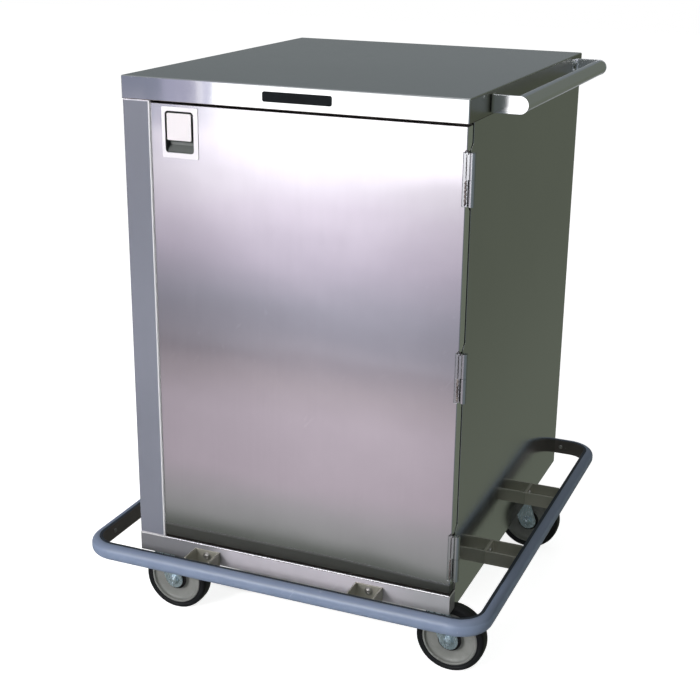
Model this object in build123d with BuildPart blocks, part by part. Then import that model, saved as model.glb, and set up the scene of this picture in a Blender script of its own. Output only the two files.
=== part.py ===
from build123d import *
from math import atan2, cos, degrees, hypot, radians, sin
import os

# Closed stainless case cart: one door, push handle, bumper all round and four swivel casters.
# Millimetres. The origin is on the floor, under the centre of the bumper ring. +Z is up, the door
# faces -Y and the push handle is on +X. Cabinet pieces are measured from the cabinet's centre line.

os.makedirs("parts", exist_ok=True)

# Cabinet: outer sizes, over the top panel's flange and from the header to the back
cabinet_width = 610.0
cabinet_depth = 723.0
cabinet_height = 877.5
floor_clearance = 126.0
sheet = 1.2
bend_radius = 2.4

# Front frame
header_height = 38.5
sill_height = 36.0
stile_width = 51.5
face_setback = 1.0
frame_flange = 26.0
seal_gap = 5.0
back_flange = 14.0

# Door
door_thickness = 23.0
door_gap_top = 3.0
door_gap_bottom = 5.0
door_gap_side = 2.0
door_inset_right = 0.8
door_bend = 1.6
liner_flange = 14.0
seal_width = 11.0
seal_inset = 3.5
seal_clearance = 0.3

# Hinges
hinge_count = 3
hinge_height = 84.0
hinge_margin_bottom = 25.0
hinge_margin_top = 40.0
hinge_out = 7.4
hinge_in = 3.4
knuckle_radius = 5.5
hinge_pin_radius = 2.95
pin_clearance = 0.05
knuckle_gap = 0.6
leaf_thickness = 2.0
leaf_notch = 6.0
leaf_wing = 25.0
leaf_gap = 0.4
leaf_angle = 150.0
hinge_tab_reach = 12.5
hinge_tab_slope = 10.0
hinge_notch_gap = 3.5

# Latch
latch_plate_width = 68.0
latch_plate_height = 85.0
latch_plate_thickness = 1.0
latch_from_side = 21.5
latch_from_top = 5.0
cup_width = 53.5
cup_height = 69.5
cup_left_margin = 6.0
cup_bottom_margin = 8.5
cup_depth = 12.0
cup_wall = 1.2
cup_gap = 0.4
cup_floor_rise = 12.0
cup_corner = 6.0
paddle_width = 45.4
paddle_height = 45.0
paddle_left_gap = 3.4
paddle_top_gap = 3.5
paddle_thickness = 2.0
paddle_lip = 5.0
pivot_drop = 5.5
pivot_depth = 5.5
paddle_travel = 35.0
pivot_radius = 2.0
ear_radius = 3.7
ear_thickness = 2.5
ear_inset = 7.5
spring_wall = 1.1
spring_clearance = 0.2
finger_width = 3.0
finger_reach = 13.0
bolt_clearance = 0.4
bolt_thickness = 6.0
bolt_height = 26.0
bolt_length = 59.0
bolt_travel = 10.5
nose_height = 14.0
nose_reach = 8.0
nose_bevel = 4.0
nose_neck = 1.2
finger_slot_width = 9.0
rail_lip = 1.5
strike_thickness = 1.5
strike_height = 40.0

# Badge plate on the header, blank
badge_width = 121.0
badge_height = 16.5
badge_thickness = 1.2
badge_shift = 18.0
badge_drop = 10.5
badge_corner = 3.5

# Push handle
handle_tube_radius = 14.0
handle_tube_wall = 1.8
handle_reach = 49.0
handle_length = 561.0
handle_back_inset = 63.0
handle_drop = 19.5
handle_plate = 3.0
handle_plate_radius = 14.5
handle_foot = 24.0
handle_screw_radius = 2.5
handle_screw_head = 4.5
handle_screw_spacing = 16.0

# Bumper ring: gaps from the cabinet to the track's inner face
bumper_gap_front = 41.0
bumper_gap_back = 59.0
bumper_gap_right = 57.0
bumper_gap_left = 74.0
bumper_bottom = 120.0
bumper_height = 30.0
bumper_depth = 20.5
bumper_corner = 60.0
bumper_round = 12.5
track_depth = 6.0
track_wall = 2.0
track_screw_inset_x = 59.0
track_screw_inset_y = 70.0
track_screw_head = 4.5
track_screw_height = 2.0

# Bumper brackets
bracket_width = 50.8
bracket_height = 26.0
bracket_wall = 2.5
bracket_spacing_x = 319.0
bracket_spacing_y = 277.0
bracket_shift_x = -3.5
bracket_shift_y = 6.0
bracket_bolt_radius = 4.0
bracket_bolt_head = 6.6
bracket_bolt_height = 4.2
bracket_bolt_rise = 14.5
bolt_head_taper = 20.0

# Shelves
shelf_count = 2
shelf_edge = 20.0
shelf_side_gap = 12.5
shelf_back_gap = 14.0
shelf_depth = 640.0
standard_width = 25.0
standard_depth = 10.0
standard_inset = 95.0
standard_margin = 20.0
slot_pitch = 25.4
slot_height = 12.0
slot_width = 6.0
clip_width = 18.0
clip_reach = 22.0
clip_height = 14.0
clip_thickness = 2.0
hook_clearance = 1.0

# Casters
wheel_radius = 62.5
wheel_crown = 0.9
tyre_half_width = 15.0
tyre_shoulder = 4.0
core_radius = 50.5
core_rim_inner = 46.5
core_rim_half = 14.0
core_dish_half = 9.0
core_web_half = 6.0
core_hub_radius = 22.0
core_hub_half = 12.0
cap_radius = 21.5
cap_thickness = 3.5
cap_bore = 6.0
axle_radius = 5.0
axle_clearance = 0.05
caster_trail = 25.0
caster_height = 158.0
caster_side_inset = 32.0
caster_front_inset = 41.5
caster_back_inset = 166.5
caster_plate_x = 56.0
caster_plate_y = 76.0
caster_plate_thickness = 3.0
plate_bolt_x = 40.0
plate_bolt_y = 60.0
plate_bolt_radius = 4.0
plate_bolt_head = 6.5
plate_bolt_height = 5.3
race_radius = 25.5
race_height = 6.0
race_gap = 0.5
crown_radius = 26.5
crown_height = 17.5
crown_rim_radius = 27.5
crown_rim = 3.0
kingpin_radius = 6.0
kingpin_head = 9.0
kingpin_head_height = 2.7
kingpin_clearance = 0.05
kingpin_gap = 0.3
leg_inside_half = 17.0
leg_thickness = 2.5
leg_top_half = 21.5
leg_shoulder_gap = 1.0
leg_end_radius = 17.0
nut_half_width = 8.0
nut_height = 6.5
nut_turn = 30.0
bolster_width = 110.0

# Where the cabinet stands inside the ring, and the levels and faces that its pieces share
cabinet_x = (bumper_gap_left - bumper_gap_right) / 2
cabinet_y = (bumper_gap_front - bumper_gap_back) / 2
skirt_z = floor_clearance
ledge_z = skirt_z + sill_height
floor_top = ledge_z + sheet
lip_z = ledge_z + frame_flange
top_z = skirt_z + cabinet_height
header_z = top_z - header_height
panel_top = top_z - bend_radius
ceiling_z = header_z - frame_flange
rim_x = cabinet_width / 2
side_out = rim_x - sheet
side_in = side_out - sheet
front = -cabinet_depth / 2
back = cabinet_depth / 2
back_out = back - sheet
back_in = back_out - sheet
face = front + face_setback
door_back = face + door_thickness
opening = door_back + seal_gap
opening_in = opening + sheet
stile_edge = stile_width - side_out
frame_left = stile_edge + frame_flange
frame_right = side_out - frame_flange
door_left = stile_edge + door_gap_side
door_right = side_out - door_inset_right
door_bottom = ledge_z + door_gap_bottom
door_top = header_z - door_gap_top
hinge_x = side_out + hinge_out
hinge_y = face + hinge_in
hinge_tab_y = opening - hinge_tab_reach
hinge_low = door_bottom + hinge_margin_bottom
hinge_high = door_top - hinge_margin_top - hinge_height
hinge_pitch = (hinge_high - hinge_low) / (hinge_count - 1)
hinge_z = [hinge_low + i * hinge_pitch for i in range(hinge_count)]


def level(z):
    """A level plane at height z, centred on the cabinet."""
    return Plane(origin=(cabinet_x, cabinet_y, z))


def facing(y):
    """The plane at depth y in the cabinet that faces forward: local x is +X and local y is +Z."""
    return Plane(origin=(cabinet_x, cabinet_y + y, 0), x_dir=(1, 0, 0), z_dir=(0, -1, 0))


def beside(x):
    """The plane at side position x in the cabinet that faces right: local x is +Y and local y is +Z."""
    return Plane(origin=(cabinet_x + x, cabinet_y, 0), x_dir=(0, 1, 0), z_dir=(1, 0, 0))


def block(x, y, z, mode=Mode.ADD):
    """The box between each pair of limits, in either order, measured in the cabinet."""
    with BuildSketch(level(min(z))) as outline:
        with Locations((sum(x) / 2, sum(y) / 2)):
            Rectangle(abs(x[1] - x[0]), abs(y[1] - y[0]))
    extrude(outline.sketch, amount=abs(z[1] - z[0]), mode=mode)


def side_profile(points, x, mode=Mode.ADD):
    """A polygon of (y, z) points, carried along X between the two limits."""
    with BuildSketch(beside(min(x))) as outline:
        Polygon(*points, align=None)
    extrude(outline.sketch, amount=abs(x[1] - x[0]), mode=mode)


def bar(plane, centre, radius, length, mode=Mode.ADD):
    """A round bar that stands on the plane."""
    with BuildSketch(plane) as outline:
        with Locations(centre):
            Circle(radius)
    extrude(outline.sketch, amount=length, mode=mode)


# Cabinet shell

with BuildPart() as top_panel:
    block((-rim_x, rim_x), (front, back), (header_z, top_z))
    fillet(top_panel.edges().filter_by(Axis.Z) + top_panel.edges().group_by(Axis.Z)[-1], bend_radius)
    offset(amount=-sheet, openings=top_panel.faces().sort_by(Axis.Z)[0])
    block((-side_out, side_out), (front + sheet, opening), (header_z, header_z + sheet))
top_panel.part.label = "top_panel"
export_step(top_panel.part, "parts/top_panel.step")

with BuildPart() as side_panel_left:
    block((-side_out, -side_in), (opening, back_in), (skirt_z, panel_top))
    block((-side_out, frame_left), (opening, opening_in), (lip_z, panel_top))
side_panel_left.part.label = "side_panel_left"
export_step(side_panel_left.part, "parts/side_panel_left.step")

with BuildPart() as side_panel_right:
    block((side_in, side_out), (opening, back_in), (skirt_z, panel_top))
    block((frame_right, side_out), (opening, opening_in), (lip_z, panel_top))
    for z in hinge_z:
        hinge_tab = [
            (opening_in, z - hinge_tab_slope),
            (opening, z - hinge_tab_slope),
            (hinge_tab_y, z),
            (hinge_tab_y, z + hinge_height),
            (opening, z + hinge_height + hinge_tab_slope),
            (opening_in, z + hinge_height + hinge_tab_slope),
        ]
        side_profile(hinge_tab, (side_in, side_out))
side_panel_right.part.label = "side_panel_right"
export_step(side_panel_right.part, "parts/side_panel_right.step")

with BuildPart() as back_panel:
    block((-side_in, side_in), (back_in, back_out), (skirt_z, panel_top))
    for sign in (-1, 1):
        flange_x = (sign * side_in, sign * (side_in - sheet))
        block(flange_x, (back_in - back_flange, back_in), (floor_top, panel_top))
back_panel.part.label = "back_panel"
export_step(back_panel.part, "parts/back_panel.step")

with BuildPart() as floor_pan:
    block((-side_in, side_in), (opening_in, back_in), (ledge_z, floor_top))
floor_pan.part.label = "floor_pan"
export_step(floor_pan.part, "parts/floor_pan.step")

with BuildPart() as sill_rail:
    sill_outline = [
        (face, skirt_z),
        (face, ledge_z),
        (opening, ledge_z),
        (opening, lip_z),
        (opening_in, lip_z),
        (opening_in, ledge_z - sheet),
        (face + sheet, ledge_z - sheet),
        (face + sheet, skirt_z),
    ]
    side_profile(sill_outline, (-side_in, side_in))
    for sign in (-1, 1):
        block((sign * side_out, sign * side_in), (face, opening), (skirt_z, ledge_z))
    sill_front_edges = sill_rail.edges().filter_by(Axis.X).group_by(Axis.Y)[0]
    fillet(sill_front_edges.group_by(Axis.Z)[-1], sheet)
sill_rail.part.label = "sill_rail"
export_step(sill_rail.part, "parts/sill_rail.step")

# Latch levels: the paddle's pivot, the bolt behind the cup and the slot that the bolt's nose passes through

latch_x = door_left + latch_from_side
latch_z = door_top - latch_from_top - latch_plate_height
cup_x = (latch_x + cup_left_margin, latch_x + cup_left_margin + cup_width)
cup_z = (latch_z + cup_bottom_margin, latch_z + cup_bottom_margin + cup_height)
cup_floor_y = face + cup_depth
cup_back = cup_floor_y + cup_wall
paddle_x = (cup_x[0] + paddle_left_gap, cup_x[0] + paddle_left_gap + paddle_width)
paddle_z = (cup_z[1] - paddle_top_gap - paddle_height, cup_z[1] - paddle_top_gap)
paddle_front = face - latch_plate_thickness / 2
finger_x = sum(paddle_x) / 2
pivot_y = face + pivot_depth
pivot_z = paddle_z[1] - pivot_drop
bolt_y = (cup_back + 2 * bolt_clearance, cup_back + 2 * bolt_clearance + bolt_thickness)
bolt_middle = pivot_z - pivot_drop
bolt_z = (bolt_middle - bolt_height / 2, bolt_middle + bolt_height / 2)
nose_z = (bolt_middle - nose_height / 2, bolt_middle + nose_height / 2)
finger_drop = (finger_reach - finger_width / 2) * sin(radians(paddle_travel))


def nose_slot(x):
    """Cut the slot for the latch bolt's nose between the x limits."""
    gap = bolt_clearance
    block(x, (bolt_y[0] - gap, bolt_y[1] + gap), (nose_z[0] - gap, nose_z[1] + gap), mode=Mode.SUBTRACT)


# Stile, strike and top rail

with BuildPart() as left_stile:
    block((-side_out, stile_edge), (face, opening), (ledge_z, header_z))
    fillet(left_stile.edges().filter_by(Axis.Z).group_by(Axis.Y)[0], bend_radius)
    offset(amount=-sheet, openings=left_stile.faces().sort_by(Axis.Y)[-1])
    nose_slot((stile_edge - sheet, stile_edge))
left_stile.part.label = "left_stile"
export_step(left_stile.part, "parts/left_stile.step")

with BuildPart() as latch_strike:
    strike_x = (stile_edge - sheet - strike_thickness, stile_edge - sheet)
    strike_z = (bolt_middle - strike_height / 2, min(bolt_middle + strike_height / 2, header_z - sheet))
    block(strike_x, (face + bend_radius, opening), strike_z)
    nose_slot(strike_x)
latch_strike.part.label = "latch_strike"
export_step(latch_strike.part, "parts/latch_strike.step")

with BuildPart() as door_top_rail:
    block((frame_left, frame_right), (opening, opening_in), (ceiling_z, panel_top))
    block((frame_left, frame_right), (opening, opening + frame_flange), (ceiling_z, ceiling_z + sheet))
door_top_rail.part.label = "door_top_rail"
export_step(door_top_rail.part, "parts/door_top_rail.step")

with BuildPart() as badge_plate:
    with BuildSketch(facing(front)):
        with Locations((badge_shift, top_z - badge_drop - badge_height / 2)):
            RectangleRounded(badge_width, badge_height, badge_corner)
    extrude(amount=badge_thickness)
    chamfer(badge_plate.faces().sort_by(Axis.Y)[0].edges(), badge_thickness / 3)
badge_plate.part.label = "badge_plate"
export_step(badge_plate.part, "parts/badge_plate.step")

# Shelves on clips that hook into the slots of four upright standards

standard_face = side_in - standard_depth
standard_ys = (opening + standard_inset, back_in - standard_inset)
standard_z = (floor_top + standard_margin, ceiling_z - standard_margin)
slot_count = int((standard_z[1] - standard_z[0]) // slot_pitch)
slot_zs = [standard_z[0] + (i + 0.5) * slot_pitch for i in range(slot_count)]
shelf_half = side_in - shelf_side_gap
shelf_back = back_in - shelf_back_gap
seat_rise = clip_height / 2
shelf_slots = [slot_zs[round((i + 1) * slot_count / (shelf_count + 1)) - 1] for i in range(shelf_count)]
shelf_seats = [z + seat_rise for z in shelf_slots]

with BuildPart() as shelf_standards:
    for sign in (-1, 1):
        for y in standard_ys:
            edges = (y - standard_width / 2, y + standard_width / 2)
            hollow = (edges[0] + sheet, edges[1] - sheet)
            block((sign * side_in, sign * standard_face), edges, standard_z)
            block((sign * side_in, sign * (standard_face + sheet)), hollow, standard_z, mode=Mode.SUBTRACT)
            with BuildSketch(beside(sign * standard_face)):
                with Locations(*[(y, z) for z in slot_zs]):
                    Rectangle(slot_width, slot_height)
            extrude(amount=sign * sheet, mode=Mode.SUBTRACT)
shelf_standards.part.label = "shelf_standards"
export_step(shelf_standards.part, "parts/shelf_standards.step")

for shelf_name, seat in zip(("shelf_lower", "shelf_upper"), shelf_seats):
    with BuildPart() as shelf:
        block((-shelf_half, shelf_half), (shelf_back - shelf_depth, shelf_back), (seat, seat + shelf_edge))
        fillet(shelf.edges().filter_by(Axis.Z) + shelf.edges().group_by(Axis.Z)[-1], bend_radius)
        offset(amount=-sheet, openings=shelf.faces().sort_by(Axis.Z)[0])
    shelf.part.label = shelf_name
    export_step(shelf.part, f"parts/{shelf_name}.step")

with BuildPart() as shelf_clips:
    for seat in shelf_seats:
        for sign in (-1, 1):
            for y in standard_ys:
                clip_y = (y - clip_width / 2, y + clip_width / 2)
                hook_y = (y - slot_width / 2 + hook_clearance, y + slot_width / 2 - hook_clearance)
                hook_z = (seat - seat_rise - slot_height / 3, seat - seat_rise + slot_height / 3)
                plate_x = (sign * standard_face, sign * (standard_face - clip_thickness))
                arm_x = (sign * standard_face, sign * (standard_face - clip_reach))
                block(plate_x, clip_y, (seat - clip_height, seat))
                block(arm_x, clip_y, (seat - clip_thickness, seat))
                block((sign * standard_face, sign * (standard_face + sheet)), hook_y, hook_z)
shelf_clips.part.label = "shelf_clips"
export_step(shelf_clips.part, "parts/shelf_clips.step")

# Door


def hinge_notches(x, y):
    """Cut the door's edge away round each hinge tab, between the x limits and from y to the door's back."""
    shoulder = hinge_tab_y - hinge_notch_gap
    for z in hinge_z:
        low = z - leaf_gap
        high = z + hinge_height + leaf_gap
        slope = hinge_tab_slope + leaf_gap
        notch = [
            (y, low),
            (shoulder, low),
            (door_back, low - slope),
            (door_back, high + slope),
            (shoulder, high),
            (y, high),
        ]
        side_profile(notch, x, mode=Mode.SUBTRACT)


with BuildPart() as door_outer_pan:
    block((door_left, door_right), (face, door_back), (door_bottom, door_top))
    fillet(door_outer_pan.edges().group_by(Axis.Y)[0], door_bend)
    offset(amount=-sheet, openings=door_outer_pan.faces().sort_by(Axis.Y)[-1])
    hinge_notches((door_right - leaf_notch, door_right), face)
    cup_hole = cup_wall + cup_gap
    block((cup_x[0] - cup_hole, cup_x[1] + cup_hole), (face, face + sheet),
          (cup_z[0] - cup_hole, cup_z[1] + cup_hole), mode=Mode.SUBTRACT)
    nose_slot((door_left, door_left + sheet))
door_outer_pan.part.label = "door_outer_pan"
export_step(door_outer_pan.part, "parts/door_outer_pan.step")

with BuildPart() as door_inner_pan:
    liner_x = (door_left + sheet, door_right - sheet)
    liner_y = (door_back - liner_flange, door_back)
    block(liner_x, liner_y, (door_bottom + sheet, door_top - sheet))
    offset(amount=-sheet, openings=door_inner_pan.faces().sort_by(Axis.Y)[0])
    hinge_notches((liner_x[1] - leaf_notch, liner_x[1]), liner_y[0])
    nose_slot((liner_x[0], liner_x[0] + sheet))
door_inner_pan.part.label = "door_inner_pan"
export_step(door_inner_pan.part, "parts/door_inner_pan.step")

with BuildPart() as door_seal:
    seal_x = (door_left + seal_inset, door_right - seal_inset)
    seal_y = (door_back, opening - seal_clearance)
    seal_z = (door_bottom + seal_inset, door_top - seal_inset)
    block(seal_x, seal_y, seal_z)
    block((seal_x[0] + seal_width, seal_x[1] - seal_width), seal_y,
          (seal_z[0] + seal_width, seal_z[1] - seal_width), mode=Mode.SUBTRACT)
door_seal.part.label = "door_seal"
export_step(door_seal.part, "parts/door_seal.step")

# Hinges: the door's upper knuckles sit over pins in the cabinet's lower knuckles

knuckle_height = (hinge_height - knuckle_gap) / 2
leaf_edge = door_right - leaf_notch

with BuildPart() as hinge_door_leaves:
    for z in hinge_z:
        upper = z + hinge_height - knuckle_height
        full = (z, z + hinge_height)
        leaf_y = (face, face + leaf_thickness)
        wing_y = (face + sheet, face + sheet + leaf_thickness)
        block((leaf_edge + leaf_gap, hinge_x - knuckle_radius - leaf_gap), leaf_y, full)
        block((leaf_edge - leaf_wing, leaf_edge + leaf_gap + leaf_thickness), wing_y, full)
        block((leaf_edge + leaf_gap, hinge_x), leaf_y, (upper, upper + knuckle_height))
        bar(level(upper), (hinge_x, hinge_y), knuckle_radius, knuckle_height)
        bar(level(upper), (hinge_x, hinge_y), hinge_pin_radius + pin_clearance, knuckle_height,
            mode=Mode.SUBTRACT)
hinge_door_leaves.part.label = "hinge_door_leaves"
export_step(hinge_door_leaves.part, "parts/hinge_door_leaves.step")

strip_root = (side_out - leaf_thickness / 2, hinge_tab_y)
strip_reach = knuckle_radius - leaf_thickness / 2
strip_turn = radians(leaf_angle)
strip_tip = (hinge_x + strip_reach * cos(strip_turn), hinge_y + strip_reach * sin(strip_turn))
strip_run = (strip_tip[0] - strip_root[0], strip_tip[1] - strip_root[1])
half_leaf = leaf_thickness / 2 / hypot(*strip_run)
across = (-strip_run[1] * half_leaf, strip_run[0] * half_leaf)

with BuildPart() as hinge_cabinet_leaves:
    for z in hinge_z:
        with BuildSketch(level(z)):
            Polygon(
                (side_in, hinge_tab_y),
                (side_out, hinge_tab_y),
                (strip_tip[0] + across[0], strip_tip[1] + across[1]),
                (strip_tip[0] - across[0], strip_tip[1] - across[1]),
                align=None,
            )
            with Locations((hinge_x, hinge_y)):
                Circle(knuckle_radius)
                Circle(hinge_pin_radius, mode=Mode.SUBTRACT)
        extrude(amount=knuckle_height)
hinge_cabinet_leaves.part.label = "hinge_cabinet_leaves"
export_step(hinge_cabinet_leaves.part, "parts/hinge_cabinet_leaves.step")

with BuildPart() as hinge_pins:
    for z in hinge_z:
        bar(level(z), (hinge_x, hinge_y), hinge_pin_radius, hinge_height - hinge_pin_radius)
hinge_pins.part.label = "hinge_pins"
export_step(hinge_pins.part, "parts/hinge_pins.step")

# Latch: a flush cup with a sloped floor and, behind it, two rails that guide the bolt


def latch_plate_outline():
    """The flush plate's rounded outline with the rounded mouth of the cup cut in it."""
    with Locations((latch_x + latch_plate_width / 2, latch_z + latch_plate_height / 2)):
        RectangleRounded(latch_plate_width, latch_plate_height, bend_radius)
    with Locations((sum(cup_x) / 2, sum(cup_z) / 2)):
        RectangleRounded(cup_width, cup_height, cup_corner, mode=Mode.SUBTRACT)


with BuildPart() as latch_cup:
    cup_outside_x = (cup_x[0] - cup_wall, cup_x[1] + cup_wall)
    cup_outside_z = (cup_z[0] - cup_wall, cup_z[1] + cup_wall)
    block(cup_outside_x, (face, cup_back), cup_outside_z)
    hollow = [
        (face, cup_z[0]),
        (cup_floor_y, cup_z[0] + cup_floor_rise),
        (cup_floor_y, cup_z[1]),
        (face, cup_z[1]),
    ]
    side_profile(hollow, cup_x, mode=Mode.SUBTRACT)
    with BuildSketch(facing(face)):
        latch_plate_outline()
    extrude(amount=latch_plate_thickness)
    slot_x = (finger_x - finger_width, finger_x + finger_width)
    slot_z = (pivot_z - finger_drop - finger_width, pivot_z + finger_width)
    block(slot_x, (cup_floor_y, cup_back), slot_z, mode=Mode.SUBTRACT)
    rail_x = (cup_x[0] + cup_left_margin, cup_x[1] - cup_left_margin)
    rail_back = bolt_y[1] + bolt_clearance
    for sign in (-1, 1):
        rail_edge = bolt_middle + sign * (bolt_height / 2 + bolt_clearance)
        rail_outside = rail_edge + sign * cup_wall
        block(rail_x, (cup_back, rail_back + cup_wall), (rail_edge, rail_outside))
        block(rail_x, (rail_back, rail_back + cup_wall), (rail_edge - sign * rail_lip, rail_outside))
    bar(beside(cup_outside_x[0]), (pivot_y, pivot_z), pivot_radius, cup_width + 2 * cup_wall,
        mode=Mode.SUBTRACT)
latch_cup.part.label = "latch_cup"
export_step(latch_cup.part, "parts/latch_cup.step")

with BuildPart() as latch_pivot_pin:
    bar(beside(cup_outside_x[0]), (pivot_y, pivot_z), pivot_radius, cup_width + 2 * cup_wall)
latch_pivot_pin.part.label = "latch_pivot_pin"
export_step(latch_pivot_pin.part, "parts/latch_pivot_pin.step")

left_ear_x = paddle_x[0] + ear_inset
right_ear_x = paddle_x[1] - ear_inset - ear_thickness
hub_x = finger_x - finger_width / 2

with BuildPart() as latch_paddle:
    with BuildSketch(facing(paddle_front)):
        with Locations((finger_x, sum(paddle_z) / 2)):
            RectangleRounded(paddle_width, paddle_height, bend_radius)
    extrude(amount=-paddle_thickness)
    block((paddle_x[0] + bend_radius, paddle_x[1] - bend_radius), (paddle_front, paddle_front + paddle_lip),
          (paddle_z[0], paddle_z[0] + paddle_thickness))
    lugs = [(left_ear_x, ear_thickness), (hub_x, finger_width), (right_ear_x, ear_thickness)]
    for ear_x, thickness in lugs:
        lug_x = (ear_x, ear_x + thickness)
        bar(beside(ear_x), (pivot_y, pivot_z), ear_radius, thickness)
        block(lug_x, (paddle_front, pivot_y), (pivot_z - ear_radius, pivot_z + ear_radius))
    block((hub_x, hub_x + finger_width), (pivot_y, pivot_y + finger_reach),
          (pivot_z - finger_width / 2, pivot_z + finger_width / 2))
    bar(beside(paddle_x[0]), (pivot_y, pivot_z), pivot_radius + pin_clearance, paddle_width,
        mode=Mode.SUBTRACT)
latch_paddle.part.label = "latch_paddle"
export_step(latch_paddle.part, "parts/latch_paddle.step")

with BuildPart() as latch_spring:
    spring_x = left_ear_x + 2 * ear_thickness
    spring_length = hub_x - ear_thickness / 2 - spring_x
    spring_bore = pivot_radius + spring_clearance
    bar(beside(spring_x), (pivot_y, pivot_z), spring_bore + spring_wall, spring_length)
    bar(beside(spring_x), (pivot_y, pivot_z), spring_bore, spring_length, mode=Mode.SUBTRACT)
latch_spring.part.label = "latch_spring"
export_step(latch_spring.part, "parts/latch_spring.step")

with BuildPart() as latch_bolt:
    bolt_start = door_left + 2 * sheet + nose_neck
    block((bolt_start, bolt_start + bolt_length), bolt_y, bolt_z)
    block((stile_edge - nose_reach, bolt_start), bolt_y, nose_z)
    chamfer(latch_bolt.edges().filter_by(Axis.Z).group_by(Axis.X)[0].sort_by(Axis.Y)[-1], nose_bevel)
    slot_middle = (finger_x - bolt_travel / 2, pivot_z - finger_drop / 2, 0)
    with BuildSketch(facing(bolt_y[0])):
        with Locations(Location(slot_middle, (0, 0, degrees(atan2(finger_drop, bolt_travel))))):
            SlotCenterToCenter(hypot(bolt_travel, finger_drop), finger_slot_width)
    extrude(amount=-bolt_thickness, mode=Mode.SUBTRACT)
latch_bolt.part.label = "latch_bolt"
export_step(latch_bolt.part, "parts/latch_bolt.step")

# Push handle on the right side of the top panel

handle_x = rim_x + handle_reach
handle_z = top_z - handle_drop
handle_ends = (back - handle_back_inset - handle_length, back - handle_back_inset)
tube_ends = (handle_ends[0] + handle_plate, handle_ends[1] - handle_plate)
tube_length = tube_ends[1] - tube_ends[0]
screw_zs = (handle_z - handle_screw_spacing / 2, handle_z + handle_screw_spacing / 2)


def screw_line(end, inward):
    """Where the screws of a handle end stand along Y: inward is the way from the plate to the tube."""
    return end + inward * (handle_plate + handle_foot) / 2


def handle_end(end, inward):
    """A cheek with a round outer end that closes the tube, and a foot turned in against the top panel."""
    with BuildSketch(facing(end)) as cheek:
        with Locations(((rim_x + handle_x) / 2, handle_z)):
            Rectangle(handle_reach, 2 * handle_plate_radius)
        with Locations((handle_x, handle_z)):
            Circle(handle_plate_radius)
    extrude(cheek.sketch, amount=-inward * handle_plate)
    block((rim_x, rim_x + handle_plate), (end, end + inward * handle_foot),
          (handle_z - handle_plate_radius, handle_z + handle_plate_radius))
    for z in screw_zs:
        spot = (screw_line(end, inward), z)
        bar(beside(rim_x), spot, handle_screw_radius, handle_plate, mode=Mode.SUBTRACT)


with BuildPart() as handle_end_front:
    handle_end(handle_ends[0], 1)
handle_end_front.part.label = "handle_end_front"
export_step(handle_end_front.part, "parts/handle_end_front.step")

with BuildPart() as handle_end_back:
    handle_end(handle_ends[1], -1)
handle_end_back.part.label = "handle_end_back"
export_step(handle_end_back.part, "parts/handle_end_back.step")

with BuildPart() as handle_bar:
    bar(facing(tube_ends[1]), (handle_x, handle_z), handle_tube_radius, tube_length)
    bar(facing(tube_ends[1]), (handle_x, handle_z), handle_tube_radius - handle_tube_wall, tube_length,
        mode=Mode.SUBTRACT)
handle_bar.part.label = "handle_bar"
export_step(handle_bar.part, "parts/handle_bar.step")

with BuildPart() as handle_screws:
    for end, inward in zip(handle_ends, (1, -1)):
        for z in screw_zs:
            spot = (screw_line(end, inward), z)
            bar(beside(rim_x), spot, handle_screw_radius, handle_plate)
            bar(beside(rim_x + handle_plate), spot, handle_screw_head, handle_screw_head / 2)
    fillet(handle_screws.edges().filter_by(GeomType.CIRCLE).group_by(Axis.X)[-1], handle_screw_head / 3)
handle_screws.part.label = "handle_screws"
export_step(handle_screws.part, "parts/handle_screws.step")

# Bumper ring, centred on the origin: a vinyl strip held in a channel that opens outwards

ring_x = cabinet_width + bumper_gap_left + bumper_gap_right + 2 * bumper_depth
ring_y = cabinet_depth + bumper_gap_front + bumper_gap_back + 2 * bumper_depth
track_outside = bumper_depth - track_depth
channel = (bumper_bottom + track_wall, bumper_height - 2 * track_wall)


def hoop(z, height, outside, inside, mode=Mode.ADD):
    """A rounded rectangular hoop between two depths, each measured in from the bumper's outer face."""
    with BuildSketch(Plane.XY.offset(z)) as outline:
        RectangleRounded(ring_x - 2 * outside, ring_y - 2 * outside, bumper_corner - outside)
        RectangleRounded(ring_x - 2 * inside, ring_y - 2 * inside, bumper_corner - inside, mode=Mode.SUBTRACT)
    extrude(outline.sketch, amount=height, mode=mode)


with BuildPart() as bumper_track:
    hoop(bumper_bottom, bumper_height, track_outside, bumper_depth)
    hoop(*channel, track_outside, bumper_depth - track_wall, mode=Mode.SUBTRACT)
bumper_track.part.label = "bumper_track"
export_step(bumper_track.part, "parts/bumper_track.step")

with BuildPart() as bumper_strip:
    hoop(bumper_bottom, bumper_height, 0, track_outside)
    rims = [hoop_face.outer_wire().edges() for hoop_face in bumper_strip.faces().filter_by(Axis.Z)]
    fillet([edge for rim in rims for edge in rim], bumper_round)
    hoop(*channel, track_outside, bumper_depth - track_wall)
bumper_strip.part.label = "bumper_strip"
export_step(bumper_strip.part, "parts/bumper_strip.step")

with BuildPart() as bumper_track_screws:
    inner_x = ring_x / 2 - bumper_depth
    inner_y = ring_y / 2 - bumper_depth
    screw_z = bumper_bottom + bumper_height / 2
    for sign in (-1, 1):
        across_plane = Plane(origin=(0, sign * inner_y, screw_z), x_dir=(1, 0, 0), z_dir=(0, -sign, 0))
        along_plane = Plane(origin=(sign * inner_x, 0, screw_z), x_dir=(0, 1, 0), z_dir=(-sign, 0, 0))
        for end in (-1, 1):
            across_spot = (end * (inner_x - track_screw_inset_x), 0)
            along_spot = (end * (inner_y - track_screw_inset_y), 0)
            bar(across_plane, across_spot, track_screw_head, track_screw_height)
            bar(along_plane, along_spot, track_screw_head, track_screw_height)
bumper_track_screws.part.label = "bumper_track_screws"
export_step(bumper_track_screws.part, "parts/bumper_track_screws.step")

# Bumper brackets: on each side, U-shapes with the web on the cabinet and flanges out to the track

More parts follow.
